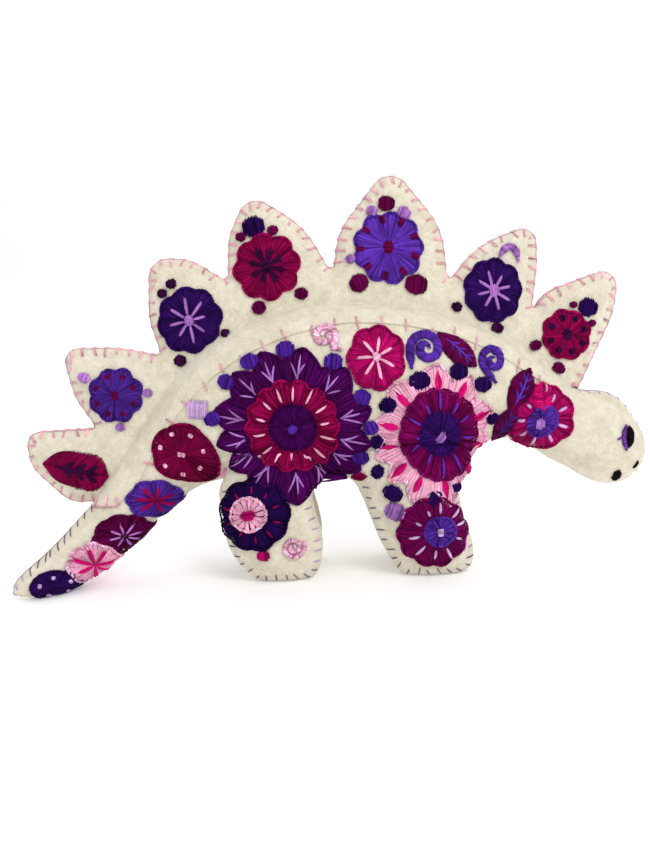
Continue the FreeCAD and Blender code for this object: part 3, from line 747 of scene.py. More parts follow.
    def rays(self, count, inner, outer, colour, lift, width, fan=0.0, first=0.0, strands=2,
             shift=(0.0, 0.0), vary_length=0.06, fade=0.5):
        """Straight stitches pointing outward, each of one or more strands."""
        part = np.linspace(0, 1, 6)
        for index in range(count):
            turn = 2 * math.pi * index / count + math.radians(first) + rng.normal(0, 0.03)
            far = outer * (1 + rng.normal(0, vary_length))
            for place in np.arange(strands) - (strands - 1) / 2:
                offset = place * (fan if fan else 0.035 / max(outer, 0.2))
                share = inner + (far - inner) * part * (1 - 0.06 * abs(place))
                spread = offset * (part if fan else np.ones(6))
                height = lift - fade * part ** 2 + 0.2 * np.sin(part * math.pi) + self.base - 0.25
                taper = 0.45 + 0.65 * np.sin(math.pi * part ** 0.8)
                self.stitch(turn + spread, share, height, 0.4, width * taper, colour, 0.12, shift)

    def feet(self, count, inner, outer, colour, lift, width):
        """Three stitches that spread outward from one hole in each petal."""
        part = np.linspace(0, 1, 6)
        for index in range(count):
            turn = self.turn_of(index, count) + rng.normal(0, 0.02)
            for lean, share_far in ((-0.13, 0.90), (0.0, 1.0), (0.13, 0.92)):
                far = outer * share_far * (1 + rng.normal(0, 0.04))
                share = inner + (far - inner) * part
                height = lift + 0.25 * np.sin(part * math.pi)
                turned = turn + lean * part + rng.normal(0, 0.02)
                self.stitch(turned, share, height, 0.3, width * np.sin(0.5 + 2.2 * part), colour, 0.15)

    def spots(self, count, share, radius, colour, aspect=1.0, first=0.0, lift=0.9, height=0.8,
              shift=(0.0, 0.0)):
        """Small satin knots set in a ring."""
        for index in range(count):
            turn = 2 * math.pi * index / count + math.radians(first) + self.spin
            x = self.centre[0] + shift[0] + self.size[0] * share * math.cos(turn)
            z = self.centre[1] + shift[1] + self.size[1] * share * math.sin(turn)
            dot(self.yarn, self.side, x, z, radius, colour, math.degrees(turn), aspect, lift, height)


def axes(turn):
    """Unit vectors along and across a direction given in degrees."""
    angle = math.radians(turn)
    return np.array([math.cos(angle), math.sin(angle)]), np.array([-math.sin(angle), math.cos(angle)])


def laid(side, origin, first, run, second, reach, lift):
    """Draped points and normals at run and reach from an origin along two directions, raised by lift."""
    flat = np.array(origin) + first * np.asarray(run)[..., None] + second * np.asarray(reach)[..., None]
    return drape(side, flat[..., 0], flat[..., 1], lift)


DOT_GAP = 0.78          # between the threads of a knot
BAND_GAP = 0.62         # between the stitches of a band


def dot(yarn, side, x, z, radius, colour, turn, aspect=1.0, base=0.15, height=1.2):
    """A satin-stitched knot: parallel threads over a small round pad."""
    along, across = axes(turn)
    count = max(3, int(2 * radius / DOT_GAP))
    offset = (np.arange(count) + 0.5) / count * 2 - 1
    reach = np.sqrt(1 - offset ** 2 * 0.9) * radius * aspect * rng.uniform(0.88, 1.1, count)
    part = np.linspace(-1, 1, 7)
    bent = 0.07 * radius * rng.normal(0, 1, count)[:, None] * (1 - part[None] ** 2)
    dome = np.sqrt(1 - offset[:, None] ** 2 * 0.75) * np.sqrt(1 - part ** 2 * 0.97)
    spots, normals = laid(side, (x, z), across, (offset * radius)[:, None] + bent, along,
                          reach[:, None] * part, base + height * dome)
    yarn.strands(spots, normals, radius / count * 1.35, colour, vary=0.26)
    # The round pad is darkened to 0.65 as painted shade that shows between the threads.
    turns = np.linspace(0, 2 * math.pi, 17)[:, None]
    shares = np.linspace(0, 0.9, 4)[None]
    lift = base - 0.2 + height * np.sqrt(1 - (shares + 0 * turns) ** 2)
    yarn.pad(laid(side, (x, z), along, np.cos(turns) * shares * radius * aspect,
                  across, np.sin(turns) * shares * radius, lift)[0], colour * 0.65)


def leaf(yarn, side, x, z, long, wide, turn, colour, vein=None, lift=0.2, height=1.2, slant=0.25, blunt=2.2,
         vein_width=0.5):
    """A pointed leaf of slanting satin threads either side of a midrib, with an optional vein."""
    along, across = axes(turn)
    count = int(2 * long / 0.75)
    place = (np.arange(count) + 0.5) / count * 2 - 1
    part = np.linspace(0, 1, 6)
    for sign in (-1, 1):
        breadth = wide * (1 - np.abs(place) ** blunt) * rng.uniform(0.96, 1.05, count)
        run = place[:, None] * long + slant * wide * part[None] * (1 - np.abs(place[:, None]))
        dome = np.sqrt(1 - part[None] ** 2.5) * np.sqrt(1 - place[:, None] ** 2 * 0.7)
        spots, normals = laid(side, (x, z), along, run, across, sign * breadth[:, None] * part,
                              lift + height * dome)
        yarn.strands(spots, normals, 0.46, colour, vary=0.25)
    # The pad is darkened to half as painted shade that shows between the threads.
    turns = np.linspace(-0.97, 0.97, 24)[:, None]
    shares = np.linspace(-0.93, 0.93, 7)[None]
    breadth = wide * (1 - np.abs(turns) ** blunt)
    rise = lift - 0.3 + height * np.sqrt(1 - shares ** 2) * np.sqrt(1 - turns ** 2 * 0.7)
    yarn.pad(laid(side, (x, z), along, turns * long + 0 * shares, across, breadth * shares, rise)[0],
             colour * 0.5)
    if vein is None:
        return
    stitches = [(-0.62, 0.0, 0.75, 0.0)]
    stitches += [(step, 0.0, step + 0.34, reach) for step in (-0.35, 0.0, 0.35) for reach in (0.45, -0.45)]
    for run0, reach0, run1, reach1 in stitches:
        rise = lift + height + 0.35 * np.sin(part * math.pi) - 0.1
        spots, normals = laid(side, (x, z), along, (run0 + (run1 - run0) * part) * long,
                              across, (reach0 + (reach1 - reach0) * part) * wide, rise)
        yarn.strands(spots, normals, vein_width * np.sin(0.6 + 2.1 * part), vein, vary=0.15)


def banded(yarn, side, line, width, colour, slant=0.5):
    """A raised band of short slanting stitches along a line of (x, z) points."""
    line = resampled(softened(np.asarray(line, float), 3), 0.25)
    run = unit(np.gradient(line, axis=0))
    along = np.arange(len(line)) * 0.25
    marks = np.arange(BAND_GAP / 2, along[-1], BAND_GAP)
    part = np.linspace(-1, 1, 6)
    taper = np.clip(np.minimum(marks, along[-1] - marks) / (1.2 * width), 0.35, 1)

    def place(spots, reach):
        x, z, dx, dz = (np.interp(spots, along, values) for values in (*line.T, -run[:, 1], run[:, 0]))
        return x + dx * reach, z + dz * reach

    reach = (width / 2 * taper * rng.uniform(0.9, 1.08, len(marks)))[:, None] * part[None]
    x, z = place(marks[:, None] + slant * reach, reach)
    rise = 0.2 + np.sqrt(1 - part ** 2 * 0.95)[None] + rng.uniform(-0.16, 0.16, (len(marks), 1))
    yarn.strands(*drape(side, x, z, rise), BAND_GAP * 0.6, colour, vary=0.32)
    # The pad is darkened to half as painted shade that shows between the stitches.
    shares = np.linspace(-0.9, 0.9, 5)[None]
    x, z = place(marks[:, None] + 0 * shares, width / 2 * taper[:, None] * shares)
    yarn.pad(drape(side, x, z, np.sqrt(1 - shares ** 2) + 0 * x - 0.1)[0], colour * 0.5)


def spiral(yarn, side, x, z, radius, turns, first, width, colour, sweep=1, tail=None, tall=1.0):
    """A coil from its middle outward, then an optional tail to a point."""
    share = np.linspace(0.12, 1, 60)
    angle = math.radians(first) + sweep * 2 * math.pi * turns * (share - 1)
    reach = (radius - width / 2) * share
    line = np.c_[x + reach * np.cos(angle), z + tall * reach * np.sin(angle)]
    if tail is not None:
        line = np.r_[line, np.linspace(line[-1], tail, 12)[1:]]
    banded(yarn, side, line, width, colour)


def straight(yarn, side, start, end, colour, width=0.45, lift=0.45, strands=1, spread=0.7):
    """One straight surface stitch between two (x, z) points, of one or more strands."""
    start, end = np.array(start, float), np.array(end, float)
    run = unit(end - start)
    across = np.array([-run[1], run[0]])
    part = np.linspace(0, 1, 6)
    for strand in range(strands):
        offset = across * (strand - (strands - 1) / 2) * spread
        flat = start + (end - start) * part[:, None] + offset
        rise = lift * np.sqrt(np.sin(np.clip(part, 0.02, 0.98) * math.pi))
        yarn.strands(*drape(side, flat[:, 0], flat[:, 1], rise), width, colour, vary=0.1)


def finish(yarn, name):
    """Make the piece that replaces the CAD node of this name."""
    piece = yarn.piece(f"yarn_{name}")
    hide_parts(name)


def sewn(made, side, name, *place, **more):
    """A new flower whose stitches become the piece of this name."""
    made[name] = Yarn()
    return Flower(made[name], side, *place, **more)


def plate_flowers(side):
    """The six flowers and the leaf on the crest plates."""
    made = {}
    flower = partial(sewn, made, side)
    bud = flower("plate_2_flower", (-96.3, 86.3), (12.8, 12.8), 20)
    bud.whole(VIOLET * 0.75, lobes=8, depth=0.13, height=1.6)
    bud.spots(8, 0.70, 1.2, BURGUNDY, aspect=1.3)
    bud.knot(2.2, BURGUNDY, lift=1.2, height=0.7)
    bud = flower("plate_3_flower", (-60.0, 119.3), (15.1, 15.1), 10)
    bud.whole(INDIGO, lobes=8, depth=0.10, height=1.6)
    bud.rays(8, 0.10, 0.74, LILAC, lift=2.0, width=0.55, vary_length=0.1)
    bud.knot(2.3, LILAC, lift=1.5)
    bud = flower("plate_4_flower", (-23.3, 142.1), (15.4, 15.4), 8)
    bud.whole(CRIMSON * 1.15, lobes=8, depth=0.13, rope=CRIMSON * 1.5, height=1.6)
    bud.rays(8, 0.06, 0.64, PLUM, lift=2.0, width=0.62, fan=0.2, strands=3, first=22, vary_length=0.08)
    bud.knot(2.6, PLUM, lift=1.7)
    bud = flower("plate_5_flower", (32.6, 148.3), (16.2, 16.2), 0)
    bud.whole(VIOLET * 1.3, lobes=9, depth=0.13, rope=VIOLET, height=1.7)
    bud.spots(9, 0.78, 1.15, BURGUNDY, aspect=2.0, first=20, lift=0.95)
    bud.knot(3.1, BURGUNDY, lift=1.4, height=0.7)
    bud = flower("plate_6_flower", (80.0, 126.8), (13.0, 14.9), 0)
    bud.whole(INDIGO, lobes=9, depth=0.09, rope=INDIGO * 1.1, height=1.6)
    bud.rays(8, 0.10, 0.66, LILAC, lift=2.0, width=0.55, first=12, vary_length=0.1)
    bud.knot(2.3, LILAC, aspect=1.4, first=100, lift=1.5)
    bud = flower("plate_7_flower", (113.5, 105.3), (11.4, 11.6), 15)
    bud.whole(CRIMSON * 1.2, lobes=8, depth=0.10, rope=CRIMSON * 1.4, height=1.6)
    bud.spots(8, 0.68, 1.25, PLUM, aspect=1.5, lift=1.1)
    bud.knot(2.6, PLUM, lift=1.2)
    made["plate_1_leaf"] = Yarn()
    leaf(made["plate_1_leaf"], side, -117.4, 52.4, 15.6, 8.8, -14, CRIMSON, vein=PLUM, slant=0.7, blunt=3.2,
         vein_width=1.15)
    return made


HIP_PETALS = (10.5, 45, 80, 111, 135, 168, 192, 212, 238, 271, 297, 324, 343)
SHOULDER_PETALS = (20, 55, 87, 137, 167, 196, 217, 243, 280, 313, 345)


def body_flowers(side):
    """The large and small flowers on flank, neck, legs and tail."""
    made = {}
    flower = partial(sewn, made, side)
    hip = flower("hip_flower", (-14.0, 69.6), (34.5, 33.5), petals=HIP_PETALS)
    hip.satin(0.50, 1.04, GRAPE * 0.85, height=1.5, lobes=13, depth=0.17, pointed=True, rope=GRAPE * 0.9,
              gap=0.9)
    hip.feet(13, 0.62, 0.92, LILAC, lift=1.9, width=0.5)
    hip.satin(0.27, 0.61, CRIMSON * 1.25, height=1.6, lobes=14, depth=0.1, rope=CRIMSON * 1.4, base=0.9)
    hip.rays(14, 0.35, 0.53, PALE_PINK, lift=3.3, width=0.55, strands=1, first=8, fade=0.25)
    hip.satin(0.04, 0.30, DEEP_PURPLE, height=1.7, lobes=6, depth=0.02, rope=DEEP_PURPLE * 0.8, base=1.0)
    hip.knot(1.7, VIOLET, aspect=1.3, first=35, lift=2.8, height=0.9)
    bloom = flower("shoulder_flower", (49.2, 62.8), (27.4, 31.0), petals=SHOULDER_PETALS)
    bloom.satin(0.54, 1.03, PALE_PINK, height=1.1, lobes=11, depth=0.2, pointed=True,
                gap=0.85, vary=0.12)
    bloom.teardrops(11, 0.62, 0.95, 1.15, HOT_PINK, lift=1.6, strands=4)
    bloom.satin(0.28, 0.66, BURGUNDY * 1.5, height=1.7, lobes=18, depth=0.05, rope=BURGUNDY * 1.6, base=0.8,
                shift=(1.6, 0.6))
    bloom.rays(12, 0.36, 0.55, VIOLET * 1.2, lift=3.2, width=0.55, strands=1, shift=(1.6, 0.6),
               vary_length=0.08, fade=0.25)
    bloom.satin(0.04, 0.34, INDIGO * 1.3, height=1.8, lobes=6, depth=0.02, base=1.0,
                shift=(1.6, 0.6))
    bloom.knot(1.5, LILAC * 0.8, aspect=1.9, first=50, lift=2.9, shift=(1.6, 0.6))
    for x, z, radius in ((46.7, 34.4, 3.8), (57.3, 38.9, 2.4), (22.8, 61.4, 3.2), (22.7, 48.0, 3.0)):
        dot(made["shoulder_flower"], side, x, z, radius, NAVY, rng.uniform(0, 180), base=0.4)
    bud = flower("back_flower", (23.9, 98.3), (12.9, 14.4), 25)
    bud.whole(MAGENTA, lobes=7, depth=0.11, rope=MAGENTA * 0.9, height=1.6)
    bud.rays(7, 0.08, 0.74, PALE_PINK, lift=2.0, width=0.55, vary_length=0.08)
    bud.knot(1.8, PALE_PINK, lift=1.6)
    bud = flower("neck_flower", (98.2, 68.2), (15.0, 15.4), 20)
    bud.whole(MAGENTA * 0.9, lobes=8, depth=0.10, height=1.5, vary=0.26)
    bud.rays(9, 0.50, 0.78, PALE_LILAC, lift=1.9, width=0.45)
    bud.satin(0.04, 0.44, VIOLET, height=0.9, lobes=10, depth=0.02, base=1.5, shift=(0.3, -1.0))
    bud.knot(1.8, LILAC, aspect=1.5, first=70, lift=2.4, height=0.9, shift=(-0.6, -1.8))
    leaf(made["neck_flower"], side, 98.0, 77.8, 6.0, 4.6, 95, HOT_PINK, height=1.4, lift=1.4, blunt=3.6)
    straight(made["neck_flower"], side, (98.6, 78.0), (99.4, 83.6), PALE_PINK, width=0.5, lift=3.2)
    bud = flower("rump_patch", (-64.6, 59.4), (14.6, 13.4), 8, tip=(-46.0, 0.34))
    bud.whole(CRIMSON * 0.85, lobes=5, depth=0.07, rope=CRIMSON * 0.95, height=1.5)
    bud.spots(7, 0.68, 0.95, PALE_PINK, lift=1.5, height=0.7)
    bud.spots(2, 0.06, 0.9, PALE_PINK, lift=1.9, height=0.6, first=-20)
    bud = flower("tail_flower_1", (-79.6, 38.4), (12.2, 9.2), 18)
    bud.whole(VIOLET * 0.9, lobes=7, depth=0.11)
    bud.rays(7, 0.02, 0.82, CRIMSON * 1.3, lift=1.9, width=0.7, fan=0.14, fade=0.9)
    bud = flower("tail_flower_2", (-94.1, 22.9), (12.2, 9.8), 10)
    bud.whole(BURGUNDY * 0.75, lobes=8, depth=0.08, rope=BURGUNDY * 0.7)
    bud.rays(8, 0.04, 0.76, LILAC, lift=1.7, width=0.42, fade=0.9)
    bud = flower("tail_flower_3", (-106.8, 12.2), (9.8, 9.2), 0, base=0.8)
    bud.whole(PALE_PINK, lobes=8, depth=0.08, vary=0.1)
    bud.rays(7, 0.02, 0.82, HOT_PINK, lift=2.1, width=0.65, fan=0.14, fade=0.9)
    bud = flower("tail_patch", (-121.2, 5.4), (9.4, 6.4), 20, base=0.5)
    bud.whole(INDIGO * 0.9, lobes=4, depth=0.04, rope=INDIGO * 0.7)
    bud.spots(5, 0.6, 0.8, PALE_LILAC, lift=1.3, height=0.7)
    bud = flower("hind_leg_flower", (-32.8, 31.4), (15.6, 15.8), 6, base=1.0)
    bud.whole(NAVY * 0.8, lobes=9, depth=0.07, rope=NAVY * 0.7, height=1.6)
    bud.rays(10, 0.54, 0.82, CRIMSON * 1.3, lift=1.6, width=0.4, strands=1, first=15)
    bud.satin(0.04, 0.48, PALE_PINK, height=0.8, lobes=14, depth=0.04, base=1.4,
              shift=(-1.9, 0.6), vary=0.12)
    bud.knot(2.1, MAGENTA, aspect=1.6, lift=3.0, height=0.9, shift=(-1.9, 0.6))
    bud = flower("fore_leg_flower", (45.7, 20.6), (15.5, 15.5), 0, base=0.8)
    bud.whole(BURGUNDY * 1.4, lobes=10, depth=0.09, rope=BURGUNDY * 1.5, height=1.7)
    bud.rays(10, 0.50, 0.78, PALE_LILAC, lift=2.2, width=0.6, strands=1, first=10, shift=(1.9, 0.2),
             vary_length=0.1)
    bud.satin(0.04, 0.42, VIOLET, height=0.9, lobes=12, depth=0.03, base=1.6, shift=(2.6, 0.4))
    bud.knot(1.5, PALE_LILAC, lift=3.2, height=0.9, shift=(2.6, 0.4))
    return made


PLATE_DOTS = [
    (-110.6, 95.1, 2.5, LILAC), (-81.4, 86.8, 2.0, LILAC), (-95.0, 71.5, 1.9, LILAC),
    (-67.3, 136.3, 2.3, PLUM), (-71.9, 132.2, 2.2, PLUM), (-43.8, 112.6, 2.1, PLUM),
    (-65.4, 101.1, 2.8, PLUM), (-28.5, 160.4, 5.0, NAVY), (-34.4, 156.2, 2.2, BURGUNDY),
    (-20.0, 158.4, 2.4, BURGUNDY),
    (-8.3, 129.4, 3.0, BURGUNDY), (-27.9, 123.8, 3.2, BURGUNDY), (32.4, 168.3, 3.7, BURGUNDY),
    (18.6, 133.0, 4.3, BURGUNDY), (44.8, 131.2, 5.0, BURGUNDY), (25.8, 165.2, 2.5, LILAC),
    (40.2, 163.8, 3.0, LILAC), (15.2, 144.1, 2.1, LILAC), (63.4, 120.2, 2.3, PLUM), (81.6, 109.8, 2.6, PLUM),
    (123.7, 117.4, 4.4, NAVY), (116.9, 118.8, 1.6, BURGUNDY), (125.2, 110.0, 1.7, BURGUNDY),
    (99.1, 101.0, 2.6, BURGUNDY), (109.4, 90.2, 2.8, BURGUNDY)]
FLANK_DOTS = [
    (-31.9, 99.0, 3.8, BLUE_VIOLET), (-15.9, 103.6, 4.0, BLUE_VIOLET), (5.2, 97.4, 4.0, BLUE_VIOLET),
    (-42.4, 90.4, 3.6, BLUE_VIOLET), (17.0, 81.4, 3.8, BLUE_VIOLET), (-49.4, 74.6, 3.4, BLUE_VIOLET),
    (20.2, 67.8, 3.4, BLUE_VIOLET), (16.0, 53.9, 3.2, BLUE_VIOLET),
    (42.2, 87.4, 4.4, NAVY), (59.7, 90.6, 4.0, NAVY), (70.4, 84.6, 3.6, NAVY), (28.0, 77.6, 3.6, NAVY),
    (29.0, 38.4, 3.8, NAVY), (75.2, 69.4, 2.8, NAVY), (29.6, 30.3, 4.2, LILAC * 0.75),
    (-29.4, 13.4, 2.7, MAGENTA)]
HORSESHOE = [(83.4, 141.5), (84.4, 145.4), (86.8, 148.2), (89.6, 148.2), (91.8, 146.0), (92.6, 142.6),
             (92.0, 139.4)]


def small_motifs(side):
    """Dots, leaves, spirals, the eye and the marks on the snout."""
    made = {name: Yarn() for name in ("plate_dots", "flank_dots", "flank_leaves", "spiral_stitches",
                                      "eye", "face_stitches")}
    for x, z, radius, colour in PLATE_DOTS:
        dot(made["plate_dots"], side, x, z, radius, colour, rng.uniform(60, 120))
    banded(made["plate_dots"], side, HORSESHOE, 3.4, LILAC, slant=0.0)
    for x, z, radius, colour in FLANK_DOTS:
        dot(made["flank_dots"], side, x, z, radius, colour, rng.uniform(60, 120), base=0.5, height=1.3)
    straight(made["flank_dots"], side, (-56.4, 74.4), (-55.8, 83.0), PALE_LILAC, strands=11, spread=0.85,
             lift=1.2)
    straight(made["flank_dots"], side, (-50.6, 46.6), (-46.0, 51.4), PALE_PINK, strands=4)
    straight(made["flank_dots"], side, (58.6, 11.0), (59.6, 19.0), LILAC, strands=5)
    leaf(made["flank_dots"], side, 14.6, 45.8, 3.4, 1.8, 5, CRIMSON, height=0.8)
    leaves = made["flank_leaves"]
    leaf(leaves, side, 60.1, 100.3, 11.2, 5.6, -44, BURGUNDY, vein=VIOLET)
    leaf(leaves, side, 88.2, 80.8, 11.0, 6.0, 62, BURGUNDY, vein=VIOLET * 1.1)
    leaf(leaves, side, 82.2, 66.0, 9.0, 5.4, 60, BURGUNDY * 0.8, vein=VIOLET * 0.6)
    coils = made["spiral_stitches"]
    spiral(coils, side, 1.6, 108.8, 7.2, 1.9, -60, 3.0, PALE_PINK, sweep=-1, tail=(9.4, 102.0))
    spiral(coils, side, 46.4, 101.4, 9.8, 1.75, 190, 4.2, VIOLET, tail=(39.0, 92.4))
    spiral(coils, side, 76.2, 95.0, 7.4, 1.6, 200, 3.6, VIOLET, tail=(76.6, 85.0), tall=1.15)
    spiral(coils, side, -16.2, 16.4, 6.2, 2.3, 30, 1.9, PALE_PINK)
    eye = made["eye"]
    dot(eye, side, 138.8, 57.3, 2.5, BLACK, 84, 2.1, base=0.2, height=0.9)
    banded(eye, side, [(137.6, 62.8), (135.8, 60.0), (135.3, 57.2), (135.6, 54.2), (137.2, 51.6)], 2.0,
           EYE_VIOLET)
    straight(eye, side, (135.2, 57.6), (132.9, 56.4), EYE_VIOLET, width=0.5)
    face = made["face_stitches"]
    dot(face, side, 134.6, 39.4, 1.8, BLACK, 84, 1.5, base=0.1, height=0.6)
    straight(face, side, (142.2, 42.4), (144.8, 45.6), BLACK, strands=2)
    return made


for label, side in SIDES.items():
    for motifs in (plate_flowers(side), body_flowers(side), small_motifs(side)):
        for name, yarn in motifs.items():
            finish(yarn, f"{name}_{label}")


# ------------------------------------------------------------------------------------ edge stitches
PITCH = 5.5             # between blanket stitches
ACROSS = 60.0           # stitches that cross the seam may step this far


LOOP_STEP = 1.1         # between points of the loop along the plates' edge
TACK_PITCH = 11.0       # between stitches of the saddle's lower edge
LONGEST_TICK = 7.0      # a whip stitch with a longer step has slipped off the skin, and is left out


def outward_of(line):
    """Unit vectors at (x, z) points of the crest's outline: square to it, pointing out, and along it."""
    run = unit(np.gradient(line, axis=0))
    out = np.c_[-run[:, 1], run[:, 0]]
    middle = len(line) // 2
    if inside(crest_outline, (line[middle] + out[middle])[None])[0]:
        out = -out
    return out, run


def blanket_stitches():
    """Blanket stitch over the plates' seam: a tick on each face and a loop along the edge."""
    yarn = Yarn()
    normals, run = outward_of(free_edge)
    depth = np.array([4.4, 3.4, 2.3, 1.2, 0.5, 0.05])
    for row in resampled(np.c_[free_edge, normals, run], PITCH):
        spot, out, ahead = row[:2], unit(row[2:4]), unit(row[4:6])
        lean = rng.normal(0, 0.2)
        length = rng.uniform(0.7, 1.15)
        for strand in (-0.4, 0.4):
            shift = strand * (0.45 + 0.12 * depth) + depth * lean
            flat = spot + ahead * shift[:, None] - out * (depth * length)[:, None]
            faces = []
            for side in (-1, 1):
                half = crest_half(flat, side) + 0.28
                half[0] -= 0.5
                faces.append(np.c_[flat[:, 0], side * half, flat[:, 1]])
            over = spot + out * 0.5 + ahead * strand
            path = [*faces[0], (over[0], 0.0, over[1]), *faces[1][::-1]]
            square = [(0.0, -1.0, 0.0)] * len(depth) + [(out[0], 0.0, out[1])] + [(0.0, 1.0,
                                                                                   0.0)] * len(depth)
            yarn.strands(path, square, 0.32, EDGE_PINK, vary=0.15, longest=ACROSS)
    spots, away = np.split(resampled(np.c_[free_edge, normals], LOOP_STEP), 2, axis=1)
    sway = 0.35 * np.abs(np.sin(np.arange(len(spots)) * math.pi * LOOP_STEP / PITCH))
    flat = spots + away * (0.25 - sway)[:, None]
    for side in (-1, 1):
        half = np.maximum(crest_half(spots - away * 0.2, side) - 0.35, 0.9)
        facing = unit(np.c_[away[:, 0], np.full(len(spots), side * 0.6), away[:, 1]])
        yarn.strands(np.c_[flat[:, 0], side * half, flat[:, 1]], facing, 0.34, EDGE_PINK, vary=0.0)
    return yarn


def tacking():
    """Sparse stitches that hold the saddle's lower edge down on both flanks."""
    yarn = Yarn()
    line = resampled(saddle_edge, TACK_PITCH)[1:-1]
    for side in (-1, 1):
        for spot, down in zip(line, outward_of(line)[0]):
            lean = rng.normal(0, 0.9, 2)
            straight(yarn, side, spot - down * 3.2 + lean, spot + down * 2.6, EDGE_PINK, width=0.27,
                     lift=0.45, strands=2, spread=0.5)
    return yarn


def edge_tick(yarn, spot, inward, length, colour, sides, lean):
    """One whip stitch at an (x, z) spot of the outline, reaching inward on the given sides."""
    inward = unit(inward)
    beside = np.array([-inward[1], inward[0]])
    part = np.linspace(1, 0, 6)
    flat = spot + inward * (0.25 + length * part[:, None]) + beside * (lean * part[:, None])
    rise = 0.16 * np.sqrt(np.sin(np.clip(part, 0.05, 0.97) * math.pi))
    path, square = [], []
    for side in sides:
        spots, normals = drape(side, flat[:, 0], flat[:, 1], rise)
        path.append(spots[::-1] if path else spots)
        square.append(normals[::-1] if square else normals)
    path = np.concatenate(path)
    if np.linalg.norm(np.diff(path, axis=0), axis=1).max() < LONGEST_TICK:
        yarn.strands(path, np.concatenate(square), 0.32, colour, vary=0.15, longest=ACROSS)


def seam_tick(yarn, origin, direction, reach, colour):
    """One whip stitch laid square across the mid-plane seam."""
    spots, normals = [], []
    for offset in np.linspace(-reach, reach, 9):
        hit, normal = BODY.ray_cast(Vector(origin + [0.0, offset, 0.0]), Vector(direction))[:2]
        if hit is None:
            return
        spots.append(tuple(hit + normal * 0.12))
        normals.append(tuple(normal))
    yarn.strands(spots, np.array(normals), 0.28, colour, vary=0.12)


def outline_hits(origins, directions):
    """Where rays from inside the toy leave its skin, as (x, y, z) rows."""
    hits = [BODY.ray_cast(Vector(origin), Vector(direction))[0] for origin,
            direction in zip(origins, directions)]
    return np.array([tuple(hit) for hit in hits if hit is not None])


def fan_outline(origin, angles):
    """Outline of the skin round an inner origin, over a fan of angles in degrees."""
    turns = np.radians(angles)
    directions = np.c_[np.cos(turns), 0 * turns, np.sin(turns)]
    return outline_hits([origin] * len(turns), directions)


def whip(yarn, line, inner, colour_of, sides, pitch, length):
    """Whip stitches along an outline, each toward the inner side."""
    for row in resampled(line, pitch):
        spot = row[[0, 2]]
        reach = length * rng.uniform(0.75, 1.15)
        edge_tick(yarn, spot, inner(spot), reach, colour_of(spot), sides, 0.8 * rng.normal(0.5, 0.5))


def seam_thread(yarn, line, inner, colour):
    """One thread along an outline, facing away from the inner side."""
    fine = softened(resampled(line, 1.2), 3)
    toward = np.array([inner(row[[0, 2]]) for row in fine])
    facing = -unit(np.c_[toward[:, 0], 0 * toward[:, 0], toward[:, 1]])
    yarn.strands(fine + facing * 0.1, facing, 0.26, colour, vary=0.0)


HEAD_MIDDLE = np.array([126.0, 57.0])
TAIL_STITCHED = -91.0                   # the tail's top seam shows its stitches beyond this x
TAIL_TIP = -132.0                       # and they are pale beyond this one


def head_and_tail_stitches():
    """A thread along the top seam of head and tail, and the whip stitches over it."""
    yarn = Yarn()
    head = np.array([HEAD_MIDDLE[0], 0.0, HEAD_MIDDLE[1]])
    seam = fan_outline(head, np.linspace(118, -40, 160))
    seam_thread(yarn, seam, lambda spot: HEAD_MIDDLE - spot, PALE_LILAC)
    for spot in resampled(seam, 5.0):
        seam_tick(yarn, head, unit(spot - head), reach=6.5, colour=PALE_LILAC)
    xs = np.array(sorted(CENTRE_Z))
    line = resampled(np.c_[xs, np.interp(xs, SEAM_X, SEAM_Y), [CENTRE_Z[x] for x in xs]], 1.0)
    line = line[line[:, 0] < TAIL_STITCHED]
    heading = np.gradient(line, axis=0)
    upward = unit(np.c_[-heading[:, 2], 0 * heading[:, 0], heading[:, 0]])
    tip = fan_outline(line[3], np.linspace(215, 130, 30))
    top = np.r_[tip, outline_hits(line[3:], upward[3:])]
    down = np.array([0.35, -1.0])
    whip(yarn, top, lambda spot: down, lambda spot: SMOKE if spot[0] > TAIL_TIP else PALE_LILAC, (-1, 1),
         pitch=4.6, length=3.2)
    seam_thread(yarn, top, lambda spot: down, SMOKE)
    return yarn


LEG_MIDDLES = ((-25.0, 27.0), (42.0, 27.0))     # x, z in the hind and the fore leg
SOLE_STITCHED = 8.0                     # below this height all leg stitches are dark


def leg_stitches():
    """Whip stitches down the edges and round the soles of the four legs."""
    yarn = Yarn()
    for middle in LEG_MIDDLES:
        for side in (-1, 1):
            origin = np.array([middle[0], side * (GUSSET_HALF + 3.0), middle[1]])

            def shade(spot):
                return PALE_LILAC * 0.8 if spot[0] > middle[0] and spot[1] >= SOLE_STITCHED else SMOKE

            def inward(spot):
                return np.array([middle[0] - spot[0], 1.6 * max(0.0, 12.0 - spot[1])])

            line = fan_outline(origin, np.linspace(-212, 32, 170))
            whip(yarn, line, inward, shade, (side,), pitch=5.0, length=3.6)
    return yarn


for name, maker, slot in (("crest_blanket_stitch", blanket_stitches, "pink_yarn"),
                          ("saddle_tacking", tacking, "pink_yarn"),
                          ("body_whip_stitch", head_and_tail_stitches, "lilac_yarn"),
                          ("leg_whip_stitch", leg_stitches, "lilac_yarn")):
    finish(maker(), name)

# ------------------------------------------------------------------------------- stage and camera
CAMERA_DISTANCE = 380.0
CAMERA_TARGET = np.array([0.0, 0.0, 63.8])
CAMERA_RISE = math.radians(5.0)
CAMERA_ROLL = math.radians(-2.5)
FOCAL_SHARE = 800.0 / 650.0             # focal length over frame width
SENSOR = 36.0
FLOOR_GLOW = 0.16
AIR_GLOW = 0.5
LAMPS = (("key", (0.55, -0.85, 0.95), 0.7, 8.3),        # name, place, size and power
         ("fill", (-0.9, -0.9, 0.4), 1.0, 1.6),
         ("top", (0.15, 0.1, 1.3), 1.0, 4.0),
         ("rim", (-0.2, 0.8, 0.7), 0.8, 2.4))


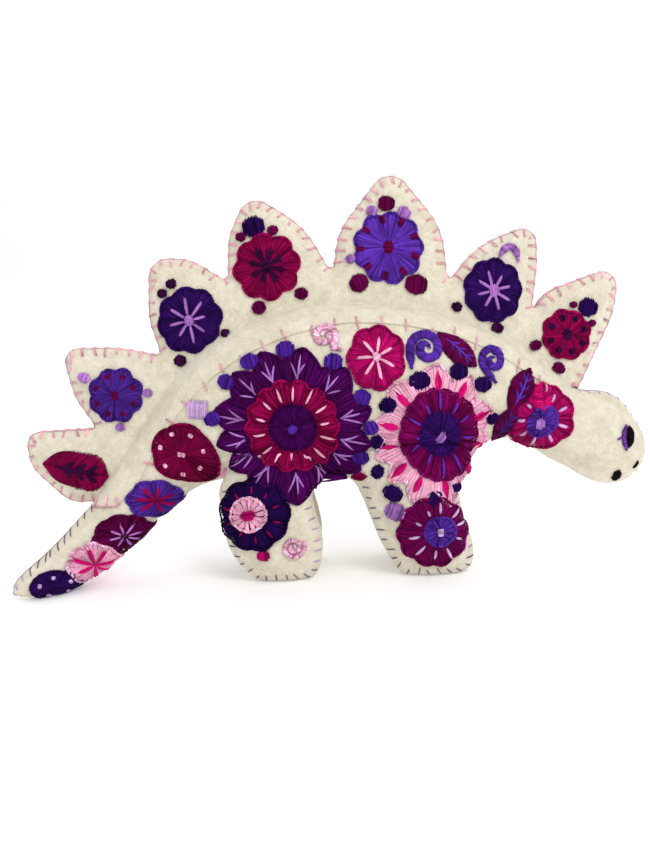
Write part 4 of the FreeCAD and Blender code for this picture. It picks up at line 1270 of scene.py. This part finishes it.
def studio():
    """A pale floor that curves up into a backdrop, soft lamps and a pale world light."""
    radius, depth, height, wide = 0.5, 1.1, 6.0, 9.0
    profile = [(-9.0, 0.0), (depth - radius, 0.0)]
    profile += [(depth - radius + radius * math.sin(a), radius - radius * math.cos(a))
                for a in np.linspace(0.1, math.pi / 2, 10)]
    profile.append((depth, height))
    co = [(x, y, z) for y, z in profile for x in (-wide, wide)]
    faces = [(2 * i, 2 * i + 1, 2 * i + 3, 2 * i + 2) for i in range(len(profile) - 1)]
    mesh = bpy.data.meshes.new("studio_floor")
    mesh.from_pydata(co, [], faces)
    mesh.polygons.foreach_set("use_smooth", [True] * len(faces))
    mesh.materials.append(new_material("floor_white", Emission_Color=(1, 1, 1, 1),
                                       Emission_Strength=FLOOR_GLOW,
                                       Base_Color=(0.92, 0.92, 0.92, 1), Roughness=0.9)[0])
    floor = bpy.data.objects.new("studio_floor", mesh)
    bpy.context.scene.collection.objects.link(floor)
    for name, place, size, power in LAMPS:
        light = bpy.data.lights.new(name, "AREA")
        light.shape = "DISK"
        light.size = size
        light.energy = power
        lamp = bpy.data.objects.new(name, light)
        lamp.location = place
        aim = Vector((0, 0, 0.07)) - Vector(place)
        lamp.rotation_euler = aim.to_track_quat("-Z", "Y").to_euler()
        bpy.context.scene.collection.objects.link(lamp)
    world = bpy.data.worlds.new("studio_air")
    world.use_nodes = True
    world.node_tree.nodes["Background"].inputs["Color"].default_value = (1.0, 0.99, 0.97, 1)
    world.node_tree.nodes["Background"].inputs["Strength"].default_value = AIR_GLOW
    bpy.context.scene.world = world
    bpy.context.scene.view_settings.view_transform = "Standard"


def place_camera():
    forward = np.array([0, math.cos(CAMERA_RISE), -math.sin(CAMERA_RISE)])
    upright = np.array([0, math.sin(CAMERA_RISE), math.cos(CAMERA_RISE)])
    east = np.array([1.0, 0, 0])
    right = math.cos(CAMERA_ROLL) * east + math.sin(CAMERA_ROLL) * upright
    up = -math.sin(CAMERA_ROLL) * east + math.cos(CAMERA_ROLL) * upright
    spot = (CAMERA_TARGET - CAMERA_DISTANCE * forward + SEW) * MM
    data = bpy.data.cameras.new("photo_camera")
    data.sensor_fit = "HORIZONTAL"
    data.sensor_width = SENSOR
    data.lens = SENSOR * FOCAL_SHARE
    data.clip_start = 0.01
    camera = bpy.data.objects.new("photo_camera", data)
    camera.matrix_world = Matrix([*np.c_[right, up, -forward, spot].tolist(), (0, 0, 0, 1)])
    bpy.context.scene.collection.objects.link(camera)
    bpy.context.scene.camera = camera


studio()
place_camera()
